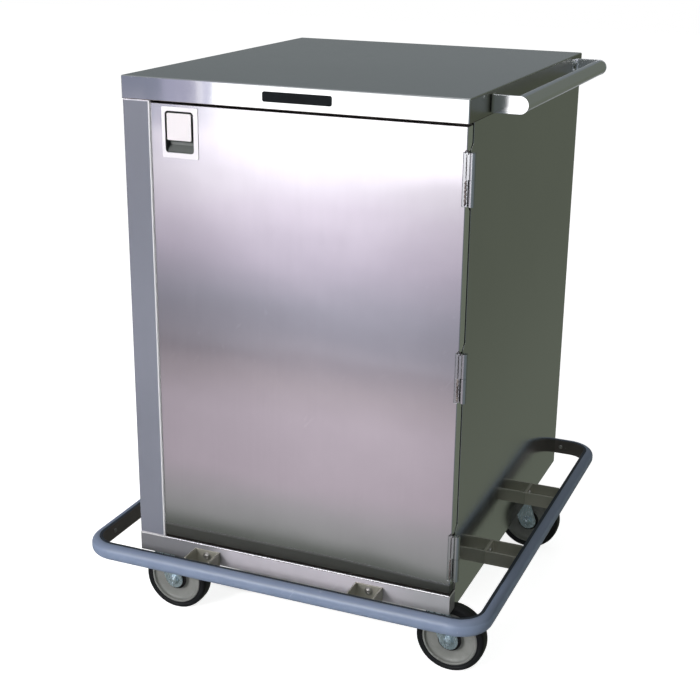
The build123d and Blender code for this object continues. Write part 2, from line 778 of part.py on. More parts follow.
bracket_mid = skirt_z + bracket_height / 2
bracket_bolt_z = skirt_z + bracket_bolt_rise
stations_x = [bracket_shift_x + end * bracket_spacing_x / 2 for end in (-1, 1)]
stations_y = [bracket_shift_y + end * bracket_spacing_y / 2 for end in (-1, 1)]


def wall_plane(x, y, outward):
    """The plane on the cabinet wall at x, y that faces outward, with local y as +Z."""
    along = (-outward[1], outward[0], 0)
    return Plane(origin=(cabinet_x + x, cabinet_y + y, 0), x_dir=along, z_dir=(*outward, 0))


bracket_sides = {
    "front": (wall_plane(0, face, (0, -1)), stations_x, bumper_gap_front + face_setback),
    "back": (wall_plane(0, back_out, (0, 1)), [-x for x in stations_x], bumper_gap_back + sheet),
    "right": (wall_plane(side_out, 0, (1, 0)), stations_y, bumper_gap_right + sheet),
    "left": (wall_plane(-side_out, 0, (-1, 0)), [-y for y in stations_y], bumper_gap_left + sheet),
}

for side, (wall, stations, reach) in bracket_sides.items():
    with BuildPart() as brackets:
        with BuildSketch(wall):
            with Locations(*[(along, bracket_mid) for along in stations]):
                Rectangle(bracket_width, bracket_height)
        extrude(amount=reach)
        with BuildSketch(wall.offset(bracket_wall)):
            with Locations(*[(along, bracket_mid) for along in stations]):
                Rectangle(bracket_width - 2 * bracket_wall, bracket_height)
        extrude(amount=reach, mode=Mode.SUBTRACT)
        for along in stations:
            bar(wall, (along, bracket_bolt_z), bracket_bolt_radius, bracket_wall, mode=Mode.SUBTRACT)
    brackets.part.label = f"bumper_brackets_{side}"
    export_step(brackets.part, f"parts/bumper_brackets_{side}.step")

with BuildPart() as bracket_bolts:
    for wall, stations, reach in bracket_sides.values():
        for along in stations:
            bar(wall, (along, bracket_bolt_z), bracket_bolt_radius, bracket_wall)
            with BuildSketch(wall.offset(bracket_wall)):
                with Locations((along, bracket_bolt_z)):
                    Circle(bracket_bolt_head)
            extrude(amount=bracket_bolt_height, taper=bolt_head_taper)
bracket_bolts.part.label = "bracket_bolts"
export_step(bracket_bolts.part, "parts/bracket_bolts.step")

# Casters: the top plate and kingpin stay on the cart, the fork turns on the kingpin and the wheel on its axle

plate_z = caster_height - caster_plate_thickness
race_z = plate_z - race_height
crown_z = race_z - race_gap - crown_height
axle_z = wheel_radius
leg_out = leg_inside_half + leg_thickness
leg_shoulder_z = skirt_z - leg_shoulder_gap
leg_top_z = crown_z + crown_rim
caster_x = rim_x - caster_side_inset
caster_front_y = front + caster_front_inset
caster_back_y = back - caster_back_inset
swivels = {
    "front_left": (-caster_x, caster_front_y),
    "front_right": (caster_x, caster_front_y),
    "back_left": (-caster_x, caster_back_y),
    "back_right": (caster_x, caster_back_y),
}
plate_bolts = [
    (x + i * plate_bolt_x / 2, y + j * plate_bolt_y / 2)
    for x, y in swivels.values()
    for i in (-1, 1)
    for j in (-1, 1)
]

with BuildPart() as caster_bolsters:
    bolster_half_x = side_in - sheet
    for y in (caster_front_y, caster_back_y):
        bolster_y = (max(y - bolster_width / 2, face + sheet), y + bolster_width / 2)
        under_floor = (max(bolster_y[0], opening_in), bolster_y[1])
        block((-bolster_half_x, bolster_half_x), bolster_y, (caster_height, ledge_z - sheet))
        block((-bolster_half_x, bolster_half_x), under_floor, (ledge_z - sheet, ledge_z))
    for spot in plate_bolts:
        bar(level(caster_height), spot, plate_bolt_radius, ledge_z - caster_height, mode=Mode.SUBTRACT)
caster_bolsters.part.label = "caster_bolsters"
export_step(caster_bolsters.part, "parts/caster_bolsters.step")

with BuildPart() as caster_plates:
    for x, y in swivels.values():
        with BuildSketch(level(plate_z)):
            with Locations((x, y)):
                RectangleRounded(caster_plate_x, caster_plate_y, kingpin_radius)
        extrude(amount=caster_plate_thickness)
        bar(level(race_z), (x, y), race_radius, race_height)
        bar(level(crown_z - kingpin_gap), (x, y), kingpin_radius, race_z - crown_z + kingpin_gap)
        bar(level(crown_z - kingpin_gap - kingpin_head_height), (x, y), kingpin_head, kingpin_head_height)
    for spot in plate_bolts:
        bar(level(plate_z), spot, plate_bolt_radius, caster_plate_thickness, mode=Mode.SUBTRACT)
caster_plates.part.label = "caster_plates"
export_step(caster_plates.part, "parts/caster_plates.step")

with BuildPart() as caster_plate_bolts:
    for spot in plate_bolts:
        with BuildSketch(level(plate_z - plate_bolt_height)):
            with Locations(spot):
                RegularPolygon(plate_bolt_head, 6, major_radius=False)
        extrude(amount=plate_bolt_height)
        bar(level(plate_z), spot, plate_bolt_radius, ledge_z - sheet - plate_z)
caster_plate_bolts.part.label = "caster_plate_bolts"
export_step(caster_plate_bolts.part, "parts/caster_plate_bolts.step")


def wheel_section(wheel_x, y):
    """The plane through the axle that a wheel's section is drawn on: local x is +Y, local y is the radius."""
    return Plane(origin=(cabinet_x + wheel_x, cabinet_y + y, axle_z), x_dir=(0, 1, 0), z_dir=(1, 0, 0))


def axle_line(wheel_x, y):
    """The wheel's axis, along +Y."""
    return Axis((cabinet_x + wheel_x, cabinet_y + y, axle_z), (0, 1, 0))


for corner, (x, y) in swivels.items():
    wheel_x = x + caster_trail
    with BuildPart() as fork:
        bar(level(crown_z), (x, y), crown_rim_radius, crown_rim)
        bar(level(crown_z), (x, y), crown_radius, crown_height)
        for leg_y in (y - leg_inside_half, y + leg_out):
            with BuildSketch(facing(leg_y)):
                with BuildLine():
                    Line((x - leg_top_half, leg_shoulder_z), (x + leg_top_half, leg_shoulder_z))
                    CenterArc((wheel_x, axle_z), leg_end_radius, 0, 360)
                make_hull()
                with Locations((x, (leg_shoulder_z + leg_top_z) / 2)):
                    Rectangle(2 * leg_top_half, leg_top_z - leg_shoulder_z)
            extrude(amount=leg_thickness)
        between_x = (x - crown_rim_radius, wheel_x + crown_rim_radius)
        between_y = (y - leg_inside_half, y + leg_inside_half)
        block(between_x, between_y, (axle_z - leg_end_radius, crown_z), mode=Mode.SUBTRACT)
        bar(level(crown_z), (x, y), kingpin_radius + kingpin_clearance, crown_height, mode=Mode.SUBTRACT)
        bar(facing(y + leg_out), (wheel_x, axle_z), axle_radius, 2 * leg_out, mode=Mode.SUBTRACT)
    fork.part.label = f"fork_{corner}"
    export_step(fork.part, f"parts/fork_{corner}.step")

    with BuildPart() as axle:
        bar(facing(y + leg_out), (wheel_x, axle_z), axle_radius, 2 * leg_out + nut_height)
        with BuildSketch(facing(y + leg_out)):
            with Locations((wheel_x, axle_z)):
                RegularPolygon(nut_half_width, 6, major_radius=False)
        extrude(amount=-nut_height)
        with BuildSketch(facing(y - leg_out)):
            with Locations((wheel_x, axle_z)):
                RegularPolygon(nut_half_width, 6, major_radius=False, rotation=nut_turn)
                Circle(axle_radius + axle_clearance, mode=Mode.SUBTRACT)
        extrude(amount=nut_height)
    axle.part.label = f"axle_{corner}"
    export_step(axle.part, f"parts/axle_{corner}.step")

    with BuildPart() as wheel:
        with BuildSketch(wheel_section(wheel_x, y)):
            with BuildLine():
                half = Polyline(
                    (0, axle_radius + axle_clearance),
                    (core_hub_half, axle_radius + axle_clearance),
                    (core_hub_half, core_hub_radius),
                    (core_web_half, core_hub_radius),
                    (core_dish_half, core_rim_inner),
                    (core_rim_half, core_rim_inner),
                    (core_rim_half, core_radius),
                    (0, core_radius),
                )
                mirror(half, about=Plane.YZ)
            make_face()
        revolve(axis=axle_line(wheel_x, y))
    wheel.part.label = f"wheel_{corner}"
    export_step(wheel.part, f"parts/wheel_{corner}.step")

    with BuildPart() as tyre:
        with BuildSketch(wheel_section(wheel_x, y)) as tyre_section:
            shoulder_radius = wheel_radius - wheel_crown
            with BuildLine():
                Polyline((-tyre_half_width, shoulder_radius), (-tyre_half_width, core_radius),
                         (tyre_half_width, core_radius), (tyre_half_width, shoulder_radius))
                ThreePointArc((-tyre_half_width, shoulder_radius), (0, wheel_radius),
                              (tyre_half_width, shoulder_radius))
            make_face()
            fillet(tyre_section.vertices().group_by(Axis.Z)[-1], tyre_shoulder)
        revolve(axis=axle_line(wheel_x, y))
    tyre.part.label = f"tyre_{corner}"
    export_step(tyre.part, f"parts/tyre_{corner}.step")

    with BuildPart() as hub_caps:
        for cap_y in (y - core_hub_half, y + core_hub_half + cap_thickness):
            with BuildSketch(facing(cap_y)):
                with Locations((wheel_x, axle_z)):
                    Circle(cap_radius)
                    Circle(cap_bore, mode=Mode.SUBTRACT)
            extrude(amount=cap_thickness)
    hub_caps.part.label = f"hub_caps_{corner}"
    export_step(hub_caps.part, f"parts/hub_caps_{corner}.step")
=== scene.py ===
"""The looks of a closed stainless case cart: finishes, fasteners, small trim, studio and camera.

Everything is in metres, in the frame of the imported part: +Z up, the door faces -Y, the push handle
and the door's hinges are on +X. Surfaces are worked out with numpy, finishes with shader nodes.
"""
import math

import bmesh
import bpy
import numpy as np
from mathutils import Matrix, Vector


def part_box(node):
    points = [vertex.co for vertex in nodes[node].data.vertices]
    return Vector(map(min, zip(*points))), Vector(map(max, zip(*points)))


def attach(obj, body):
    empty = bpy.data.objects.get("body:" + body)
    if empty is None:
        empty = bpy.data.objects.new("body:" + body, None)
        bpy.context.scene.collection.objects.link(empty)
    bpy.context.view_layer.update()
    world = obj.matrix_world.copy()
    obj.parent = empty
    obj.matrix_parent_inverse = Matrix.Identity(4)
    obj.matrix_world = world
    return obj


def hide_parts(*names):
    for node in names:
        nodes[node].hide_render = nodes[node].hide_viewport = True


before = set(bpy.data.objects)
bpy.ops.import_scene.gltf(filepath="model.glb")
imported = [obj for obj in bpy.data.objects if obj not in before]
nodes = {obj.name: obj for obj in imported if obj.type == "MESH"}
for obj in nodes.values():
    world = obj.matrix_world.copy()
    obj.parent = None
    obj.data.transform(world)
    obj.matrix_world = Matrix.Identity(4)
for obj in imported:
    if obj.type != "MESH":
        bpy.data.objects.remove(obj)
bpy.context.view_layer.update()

CORNERS = ("front_left", "front_right", "back_left", "back_right")
SIDES = ("front", "back", "right", "left")


# Shader trees


class Tree:
    """A node tree that is filled by naming each node's settings and what its sockets take."""

    def __init__(self, tree):
        self.tree = tree

    def add(self, kind, sockets=None, **settings):
        """Add a node; a socket takes a number, a colour or another node's output."""
        node = self.tree.nodes.new("ShaderNode" + kind)
        for key, value in settings.items():
            setattr(node, key, value)
        for key, value in (sockets or {}).items():
            if isinstance(value, bpy.types.NodeSocket):
                self.tree.links.new(value, node.inputs[key])
            else:
                node.inputs[key].default_value = value
        return node

    def maths(self, operation, a, b=0.0):
        """One operation on two numbers."""
        return self.add("Math", {0: a, 1: b}, operation=operation).outputs[0]

    def times(self, a, b):
        """a * b."""
        return self.maths("MULTIPLY", a, b)

    def plus(self, a, b):
        """a + b."""
        return self.maths("ADD", a, b)

    def ramp(self, value, low, high, start=0.0, end=1.0):
        """The value from low to high, carried smoothly to start and end."""
        return self.add("MapRange", {"Value": value, "From Min": low, "From Max": high, "To Min": start,
                                     "To Max": end}, interpolation_type="SMOOTHSTEP").outputs[0]

    def scaled(self, vector, scale):
        """A vector times a vector, part by part."""
        return self.add("VectorMath", {0: vector, 1: scale}, operation="MULTIPLY").outputs[0]

    def noise(self, vector, scale, detail=2.0, roughness=0.5):
        """Smooth noise from 0 to 1."""
        sockets = {"Vector": vector, "Scale": scale, "Detail": detail, "Roughness": roughness}
        return self.add("TexNoise", sockets).outputs["Fac"]

    def mix(self, factor, first, second):
        """The first colour where the factor is 0, the second where it is 1."""
        node = self.add("Mix", {0: factor}, data_type="RGBA")
        for socket, value in ((node.inputs[6], first), (node.inputs[7], second)):
            if isinstance(value, bpy.types.NodeSocket):
                self.tree.links.new(value, socket)
            else:
                socket.default_value = (*value, 1.0)
        return node.outputs[2]

    def place(self):
        """Where the shaded point is on the object."""
        return self.add("TexCoord").outputs["Object"]

    def split(self, vector):
        """A vector's x, y and z as three outputs."""
        return self.add("SeparateXYZ", {0: vector}).outputs

    def show(self, shader):
        """Link a shader node to the material's output."""
        self.tree.links.new(shader.outputs[0], self.tree.nodes["Material Output"].inputs[0])


def effect(name, inputs, outputs):
    """Start a shader node group with named sockets; returns its tree, its inputs and its output node."""
    group = bpy.data.node_groups.new(name, "ShaderNodeTree")
    for label, kind, value in inputs:
        socket = group.interface.new_socket(label, in_out="INPUT", socket_type="NodeSocket" + kind)
        socket.default_value = value
    for label, kind in outputs:
        group.interface.new_socket(label, in_out="OUTPUT", socket_type="NodeSocket" + kind)
    tree = Tree(group)
    return tree, group.nodes.new("NodeGroupInput").outputs, group.nodes.new("NodeGroupOutput").inputs


def feed(tree, target, **values):
    """Link values to the group's outputs of the same names."""
    for label, value in values.items():
        tree.tree.links.new(value, target[label.replace("_", " ")])


def brushed_grain():
    """Fine parallel lines: noise that is dense across the grain and long along it, with a few deep ones."""
    tree, given, out = effect("brushed grain", [("Scale", "Vector", (900.0, 900.0, 5.0))],
                              [("Tone", "Float"), ("Height", "Float")])
    stretched = tree.scaled(tree.place(), given["Scale"])
    fine = tree.noise(stretched, 1.0, 3.0, 0.6)
    coarse = tree.noise(stretched, 0.21, 2.0, 0.5)
    deep = tree.ramp(tree.noise(stretched, 0.55, 1.0, 0.4), 0.72, 0.86)
    tone = tree.plus(tree.times(fine, 0.6), tree.times(coarse, 0.4))
    feed(tree, out, Tone=tone, Height=tree.maths("SUBTRACT", tone, tree.times(deep, 0.25)))
    return tree.tree


def sheet_clouds():
    """Slow blotches that handling and cleaning leave on sheet metal, and the drips under them."""
    tree, given, out = effect("sheet clouds", [("Size", "Float", 6.0)],
                              [("Blotch", "Float"), ("Wipe", "Float")])
    place = tree.place()
    blotch = tree.noise(place, given["Size"], 4.0, 0.55)
    wipes = tree.noise(tree.scaled(place, (9.0, 9.0, 1.6)), given["Size"], 3.0, 0.6)
    feed(tree, out, Blotch=tree.ramp(blotch, 0.32, 0.68), Wipe=tree.ramp(wipes, 0.35, 0.7))
    return tree.tree


def sheet_waves():
    """The slack of thin sheet: a slow swell, and a shorter one across it."""
    tree, given, out = effect("sheet waves", [("Size", "Float", 3.0)], [("Height", "Float")])
    place = tree.place()
    swell = tree.noise(place, given["Size"], 1.0, 0.3)
    shorter = tree.times(given["Size"], 2.0)
    ripple = tree.noise(tree.scaled(place, (1.0, 1.0, 2.2)), shorter, 1.0, 0.3)
    feed(tree, out, Height=tree.plus(swell, tree.times(ripple, 0.25)))
    return tree.tree


def worn_edges():
    """Edges, found by how far a rounded normal turns from the true one, and broken by noise."""
    tree, given, out = effect("worn edges", [("Radius", "Float", 0.0012), ("Break", "Float", 180.0)],
                              [("Edge", "Float"), ("Normal", "Vector")])
    rounded = tree.add("Bevel", {"Radius": given["Radius"]}, samples=6).outputs[0]
    flat = tree.add("NewGeometry").outputs["True Normal"]
    along = tree.add("VectorMath", {0: rounded, 1: flat}, operation="DOT_PRODUCT").outputs["Value"]
    turn = tree.maths("SUBTRACT", 1.0, along)
    chips = tree.ramp(tree.noise(tree.place(), given["Break"], 3.0, 0.7), 0.3, 0.6, 0.35, 1.0)
    feed(tree, out, Edge=tree.times(tree.ramp(turn, 0.02, 0.22), chips), Normal=rounded)
    return tree.tree


def scuffs():
    """Short thin scratches at two angles: the crests of a noise stretched one way, then the other."""
    tree, given, out = effect("scuffs", [("Scale", "Float", 60.0)], [("Mask", "Float")])
    place = tree.place()
    masks = []
    for turn in ((0.3, 0.9, 0.5), (-0.7, 0.2, 1.3)):
        leaning = tree.add("VectorRotate", {"Vector": place, "Rotation": turn},
                           rotation_type="EULER_XYZ").outputs[0]
        lines = tree.noise(tree.scaled(leaning, (0.06, 1.6, 1.6)), given["Scale"], 2.0, 0.5)
        masks.append(tree.ramp(lines, 0.68, 0.74))
    patches = tree.ramp(tree.noise(place, 7.0, 2.0, 0.5), 0.5, 0.66)
    feed(tree, out, Mask=tree.times(tree.maths("MAXIMUM", *masks), patches))
    return tree.tree


def moulded_skin():
    """The skin of a moulding: fine pebbles over a slow unevenness."""
    tree, given, out = effect("moulded skin", [("Scale", "Float", 700.0)],
                              [("Height", "Float"), ("Tone", "Float")])
    place = tree.place()
    pebbles = tree.add("TexVoronoi", {"Vector": place, "Scale": given["Scale"]},
                       feature="SMOOTH_F1").outputs["Distance"]
    uneven = tree.noise(place, 34.0, 3.0, 0.6)
    feed(tree, out, Height=tree.plus(pebbles, tree.times(uneven, 0.8)),
         Tone=tree.ramp(tree.noise(place, 16.0, 5.0, 0.7), 0.3, 0.72))
    return tree.tree


def settled_dust():
    """Dust where the surface faces up, thinned by noise."""
    tree, given, out = effect("settled dust", [("Amount", "Float", 0.5)], [("Mask", "Float")])
    up = tree.add("SeparateXYZ", {0: tree.add("NewGeometry").outputs["Normal"]}).outputs["Z"]
    speckle = tree.ramp(tree.noise(tree.place(), 45.0, 5.0, 0.7), 0.4, 0.75)
    lying = tree.ramp(up, 0.1, 0.95)
    feed(tree, out, Mask=tree.times(tree.times(lying, speckle), given["Amount"]))
    return tree.tree


EFFECTS = {build.__name__: build() for build in
           (brushed_grain, sheet_clouds, sheet_waves, worn_edges, scuffs, moulded_skin, settled_dust)}


class Finish(Tree):
    """A material with one Principled shader."""

    def __init__(self, name, **constants):
        self.material = bpy.data.materials.new(name)
        self.material.use_nodes = True
        super().__init__(self.material.node_tree)
        self.shader = self.tree.nodes["Principled BSDF"]
        for label, value in constants.items():
            self.shader.inputs[label.replace("_", " ")].default_value = value

    def use(self, name, **values):
        """Place a shared effect and return its outputs."""
        node = self.tree.nodes.new("ShaderNodeGroup")
        node.node_tree = EFFECTS[name]
        for label, value in values.items():
            node.inputs[label].default_value = value
        return node.outputs

    def bump(self, height, strength, distance, under=None):
        """A normal bent by a height, over another normal if there is one under it."""
        sockets = {"Height": height, "Strength": strength, "Distance": distance}
        if under is not None:
            sockets["Normal"] = under
        return self.add("Bump", sockets).outputs[0]

    def set(self, label, value):
        """Link a value to one of the shader's sockets."""
        self.tree.links.new(value, self.shader.inputs[label])


def sheet_steel(name, light, dark, roughness, grain, swell=0.0, swell_size=3.0, stretch=0.6,
                turn=(0.0, 0.02, 1.0), wear=0.3, edge=0.0012, cloud=0.3, scratch=0.12, metallic=1.0, zones=(),
                polish=None):
    """Brushed stainless sheet: tone from grain and clouds, bright worn edges, slack and grain in the bump.

    grain is how dense the lines are along X, Y and Z and turn is the direction that the lines go round. zones
    lists where the sheet has another colour, mostly painted light and shade, and how much rougher it is
    there, and polish gives its roughness where that changes smoothly.
    """
    steel = Finish(name, Metallic=metallic, Anisotropic=stretch)
    lines = steel.use("brushed_grain", Scale=grain)
    clouds = steel.use("sheet_clouds")
    edges = steel.use("worn_edges", Radius=edge)
    scratches = steel.use("scuffs")["Mask"]
    tone = steel.plus(steel.times(lines["Tone"], 1.0 - cloud), steel.times(clouds["Blotch"], cloud))
    colour = steel.mix(tone, dark, light)
    colour = steel.mix(steel.times(edges["Edge"], wear), colour, (0.86, 0.85, 0.87))
    colour = steel.mix(steel.times(scratches, scratch), colour, (0.8, 0.8, 0.82))
    rough = polish(steel) if polish else roughness
    rough = steel.plus(rough, steel.times(clouds["Wipe"], 0.02))
    rough = steel.plus(rough, steel.times(lines["Tone"], 0.03))
    for where, zone_colour, rougher in zones:
        mask = where(steel)
        colour = steel.mix(mask, colour, zone_colour)
        rough = steel.plus(rough, steel.times(mask, rougher))
    steel.set("Base Color", colour)
    steel.set("Roughness", rough)
    across = steel.add("VectorMath", {0: turn, 1: steel.add("NewGeometry").outputs["Normal"]},
                       operation="CROSS_PRODUCT").outputs[0]
    steel.set("Tangent", across)
    normal = steel.bump(lines["Height"], 0.1, 0.00006, edges["Normal"])
    if swell:
        normal = steel.bump(steel.use("sheet_waves", Size=swell_size)["Height"], 1.0, swell, normal)
    steel.set("Normal", normal)
    return steel.material


def cast_metal(name, light, dark, roughness, edge=0.0008, dust=0.2, wear=0.6, metallic=1.0):
    """Plated or turned steel: cloudy plating, bright worn edges, a little dust on top."""
    metal = Finish(name, Metallic=metallic)
    clouds = metal.use("sheet_clouds", Size=30.0)
    edges = metal.use("worn_edges", Radius=edge)
    skin = metal.use("moulded_skin", Scale=1500.0)
    colour = metal.mix(clouds["Blotch"], dark, light)
    colour = metal.mix(metal.times(edges["Edge"], wear), colour, (0.82, 0.83, 0.86))
    lying = metal.use("settled_dust", Amount=dust)["Mask"]
    metal.set("Base Color", metal.mix(lying, colour, (0.4, 0.38, 0.36)))
    rough = metal.plus(roughness, metal.times(clouds["Wipe"], 0.1))
    metal.set("Roughness", metal.plus(rough, metal.times(lying, 0.5)))
    metal.set("Normal", metal.bump(skin["Height"], 0.1, 0.0001, edges["Normal"]))
    return metal.material


def moulding(name, light, dark, roughness, grit, depth, coat=0.0, dust=0.15, edge=0.001,
             worn=(0.3, 0.3, 0.3), wear=0.3, gloss=0.5, upper=None):
    """Plastic, vinyl or rubber: uneven tone, pebbled skin, edges that are rubbed and dust on what faces up.

    upper is the colour of the faces that look up, where it is another one: a painted shade, darker than the
    rest.
    """
    soft = Finish(name, Coat_Weight=coat, Coat_Roughness=0.25, Specular_IOR_Level=gloss)
    skin = soft.use("moulded_skin", Scale=grit)
    edges = soft.use("worn_edges", Radius=edge)
    colour = soft.mix(skin["Tone"], dark, light)
    # The faces that look up get a painted shade, where upper is given
    if upper:
        colour = soft.mix(top_facing(soft), colour, upper)
    colour = soft.mix(soft.times(edges["Edge"], wear), colour, worn)
    colour = soft.mix(soft.times(soft.use("scuffs", Scale=90.0)["Mask"], 0.35), colour, worn)
    lying = soft.use("settled_dust", Amount=dust)["Mask"]
    soft.set("Base Color", soft.mix(lying, colour, (0.42, 0.41, 0.4)))
    rough = soft.plus(roughness, soft.times(skin["Tone"], 0.1))
    soft.set("Roughness", soft.plus(rough, soft.times(lying, 0.3)))
    soft.set("Normal", soft.bump(skin["Height"], 0.35, depth, edges["Normal"]))
    return soft.material


# Grain directions, and places on the cabinet in metres, read from the frame

UPRIGHT = (900.0, 900.0, 5.0)
ALONG_X = (5.0, 900.0, 900.0)
ALONG_Y = (900.0, 5.0, 900.0)
TURN_X = (1.0, 0.0, 0.02)
TURN_Y = (0.0, 1.0, 0.02)
DOOR_LOW, DOOR_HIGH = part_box("door_outer_pan")
HEADER_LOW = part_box("top_panel")[0]
STILE_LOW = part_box("left_stile")[0]
FACE_Y = DOOR_LOW[1]
HEADER_Y = HEADER_LOW[1]
DOOR_TOP = DOOR_HIGH[2]
HEADER_FOOT = HEADER_LOW[2]
SILL_CLEARANCE = 0.005
SILL_LEDGE = DOOR_LOW[2] - SILL_CLEARANCE


# Zones of the sheet: each takes a finish and gives a mask of where it has another tone; most of these tones
# are painted light and shade


def band(axis, start, end, low=0.0, high=1.0):
    """A zone that goes smoothly from low at start to high at end, along one axis of the object."""
    return lambda steel: steel.ramp(steel.split(steel.place())[axis], start, end, low, high)


def turned_to(steel, axis):
    """How far the surface looks along an axis of the object."""
    return steel.split(steel.add("TexCoord").outputs["Normal"])[axis]


def side_facing(steel):
    """Faces that look left or right, such as the door's returns."""
    return steel.ramp(steel.maths("ABSOLUTE", turned_to(steel, "X")), 0.8, 0.95)


def top_facing(steel):
    """Faces that look up."""
    return steel.ramp(turned_to(steel, "Z"), 0.35, 0.6)


def door_foot_shade(steel):
    """The door's lowest strip, painted dark and made rougher: a painted reflection of the shade by the cart,
    reaching less high below the hinges.
    """
    place = steel.split(steel.place())
    drop = steel.ramp(place["X"], 0.08, 0.30, 0.0, 0.007)
    return steel.ramp(steel.plus(place["Z"], drop), 0.195, 0.186, 0.0, 0.85)


def stile_end_highlights(steel):
    """The stile's two ends, by the header and by the sill, painted bright and made smoother: painted
    highlights.
    """
    height = steel.split(steel.place())["Z"]
    foot = STILE_LOW[2]
    return steel.maths("MAXIMUM", steel.ramp(height, foot + 0.0020, foot + 0.0012),
                       steel.ramp(height, HEADER_FOOT - 0.0030, HEADER_FOOT - 0.0020))


def latch_slope_half_shade(steel):
    """The sloping floor of the latch cup, where fingers reach in: painted a lighter shade than the rest of
    the cup's painted shade.
    """
    place = steel.split(steel.place())
    low = steel.ramp(place["Z"], 0.8985, 0.8960)
    left = steel.ramp(place["X"], -0.2130, -0.2100)
    right = steel.ramp(place["X"], -0.1610, -0.1640)
    high = steel.ramp(place["Z"], 0.8810, 0.8830)
    level = steel.times(low, high)
    inner = steel.times(level, steel.times(left, right))
    return steel.times(inner, latch_recess_shade(steel))


def latch_rim_shade(steel):
    """The latch plate's narrow edges, painted dark as shade lines: painted shade."""
    sideways = steel.maths("ABSOLUTE", turned_to(steel, "X"))
    upwards = steel.maths("ABSOLUTE", turned_to(steel, "Z"))
    return steel.ramp(steel.maths("MAXIMUM", sideways, upwards), 0.6, 0.9, 0.0, 0.8)


# The header's front flange is smoother than the top, which is rubbed by what is set down on it
header_polish = band("Y", HEADER_Y, HEADER_Y + 0.0012, 0.035, 0.15)
# The header's lower edge, where the shade of the gap begins
header_lip = band("Z", HEADER_FOOT + 0.0012, HEADER_FOOT + 0.0006)
# The door's top return, in the shade of the header
door_head = band("Z", DOOR_TOP - 0.0016, DOOR_TOP - 0.0011)
# The lower part of the side panels, painted a little brighter: painted light
lower_side_light = band("Z", 0.75, 0.3)
# The stile's upper half, painted a little darker as painted shade, and its bend beside the door, painted
# bright and made smoother as a painted highlight
stile_head_shade = band("Z", 0.45, 0.93)
stile_bend_highlight = band("X", -0.2468, -0.2460, 0.0, 0.8)
# The sill's upper bend, painted bright as a painted highlight, its left end painted darker as painted shade,
# and its right end below the hinges, painted darker as painted shade
sill_lip_highlight = band("Z", SILL_LEDGE - 0.0030, SILL_LEDGE - 0.0022)
sill_end_shade = band("X", -0.10, -0.16)
sill_hinge_end_shade = band("X", 0.16, 0.28)
# The latch cup's inside and the paddle behind its front plate, both painted dark: painted shade
latch_recess_shade = band("Y", FACE_Y + 0.0002, FACE_Y + 0.0010)
paddle_back_shade = band("Y", FACE_Y + 0.0006, FACE_Y + 0.0014)


# Sheet steels

# Painted light and shade on the door: its returns painted lighter, its lowest strip painted dark as a
# reflection of the shade by the cart, and its top return painted dark as the header's shade
door_steel = sheet_steel(
    "door steel", light=(0.66, 0.65, 0.67), dark=(0.60, 0.59, 0.61), roughness=0.09, grain=UPRIGHT,
    swell=0.0016, swell_size=2.6, stretch=0.8, wear=0.1, cloud=0.55, scratch=0.18,
    zones=((side_facing, (0.95, 0.97, 0.93), 0.1), (door_foot_shade, (0.15, 0.16, 0.13), 0.45),
           (door_head, (0.10, 0.08, 0.07), 0.3)))
hinge_steel = sheet_steel(
    "hinge steel", light=(0.56, 0.58, 0.585), dark=(0.47, 0.485, 0.49), roughness=0.18, grain=UPRIGHT,
    stretch=0.5, edge=0.0003, wear=0.0)
# The side panels are painted brighter low down: painted light
side_steel = sheet_steel(
    "side steel", light=(0.57, 0.58, 0.56), dark=(0.52, 0.53, 0.51), roughness=0.075, grain=UPRIGHT,
    swell=0.0012, swell_size=2.4, zones=((lower_side_light, (0.67, 0.68, 0.68), 0.0),))
# The stile is painted as shade: the same stainless as the door, painted much darker and barely metallic, with
# a painted darker upper half, a painted highlight on its bend and painted highlights at its ends
shaded_stile_steel = sheet_steel(
    "stile steel", light=(0.215, 0.225, 0.275), dark=(0.19, 0.20, 0.245), roughness=0.45, grain=UPRIGHT,
    swell=0.0003, stretch=0.3, metallic=0.15, wear=0.1, cloud=0.6,
    zones=((stile_head_shade, (0.155, 0.163, 0.200), 0.0), (stile_bend_highlight, (0.95, 0.94, 0.97), -0.3),
           (stile_end_highlights, (0.62, 0.60, 0.66), -0.2)))
# Painted shade on the header: its side flanges painted darker, and its lower edge painted dark for the shade
# of the gap
top_steel = sheet_steel(
    "top steel", light=(0.60, 0.61, 0.61), dark=(0.56, 0.57, 0.57), roughness=0.15, grain=ALONG_X,
    swell=0.001, swell_size=2.2, turn=TURN_X, cloud=0.2, scratch=0.06, polish=header_polish, wear=0.05,
    zones=((side_facing, (0.36, 0.36, 0.31), 0.15), (header_lip, (0.10, 0.08, 0.07), 0.3)))
# Painted light and shade on the sill: its end faces and both end parts painted darker, its top face under the
# door painted nearly black as the gap's shade, and a painted highlight on its upper bend
sill_steel = sheet_steel(
    "sill steel", light=(0.66, 0.62, 0.69), dark=(0.50, 0.475, 0.53), roughness=0.45, grain=ALONG_X,
    swell=0.0008, swell_size=6.0, stretch=0.3, turn=TURN_X, cloud=0.7, metallic=0.35,
    zones=((sill_end_shade, (0.22, 0.22, 0.24), 0.0), (sill_hinge_end_shade, (0.43, 0.43, 0.46), 0.0),
           (side_facing, (0.28, 0.28, 0.29), 0.0), (sill_lip_highlight, (0.99, 0.98, 0.99), -0.3),
           (top_facing, (0.06, 0.055, 0.05), 0.2)))
inside_steel = sheet_steel(
    "inside steel", light=(0.60, 0.60, 0.60), dark=(0.54, 0.54, 0.54), roughness=0.3, grain=UPRIGHT,
    swell=0.001, stretch=0.3)
shelf_steel = sheet_steel(
    "shelf steel", light=(0.62, 0.62, 0.63), dark=(0.56, 0.56, 0.57), roughness=0.28, grain=ALONG_X,
    swell=0.001, stretch=0.3, turn=TURN_X)
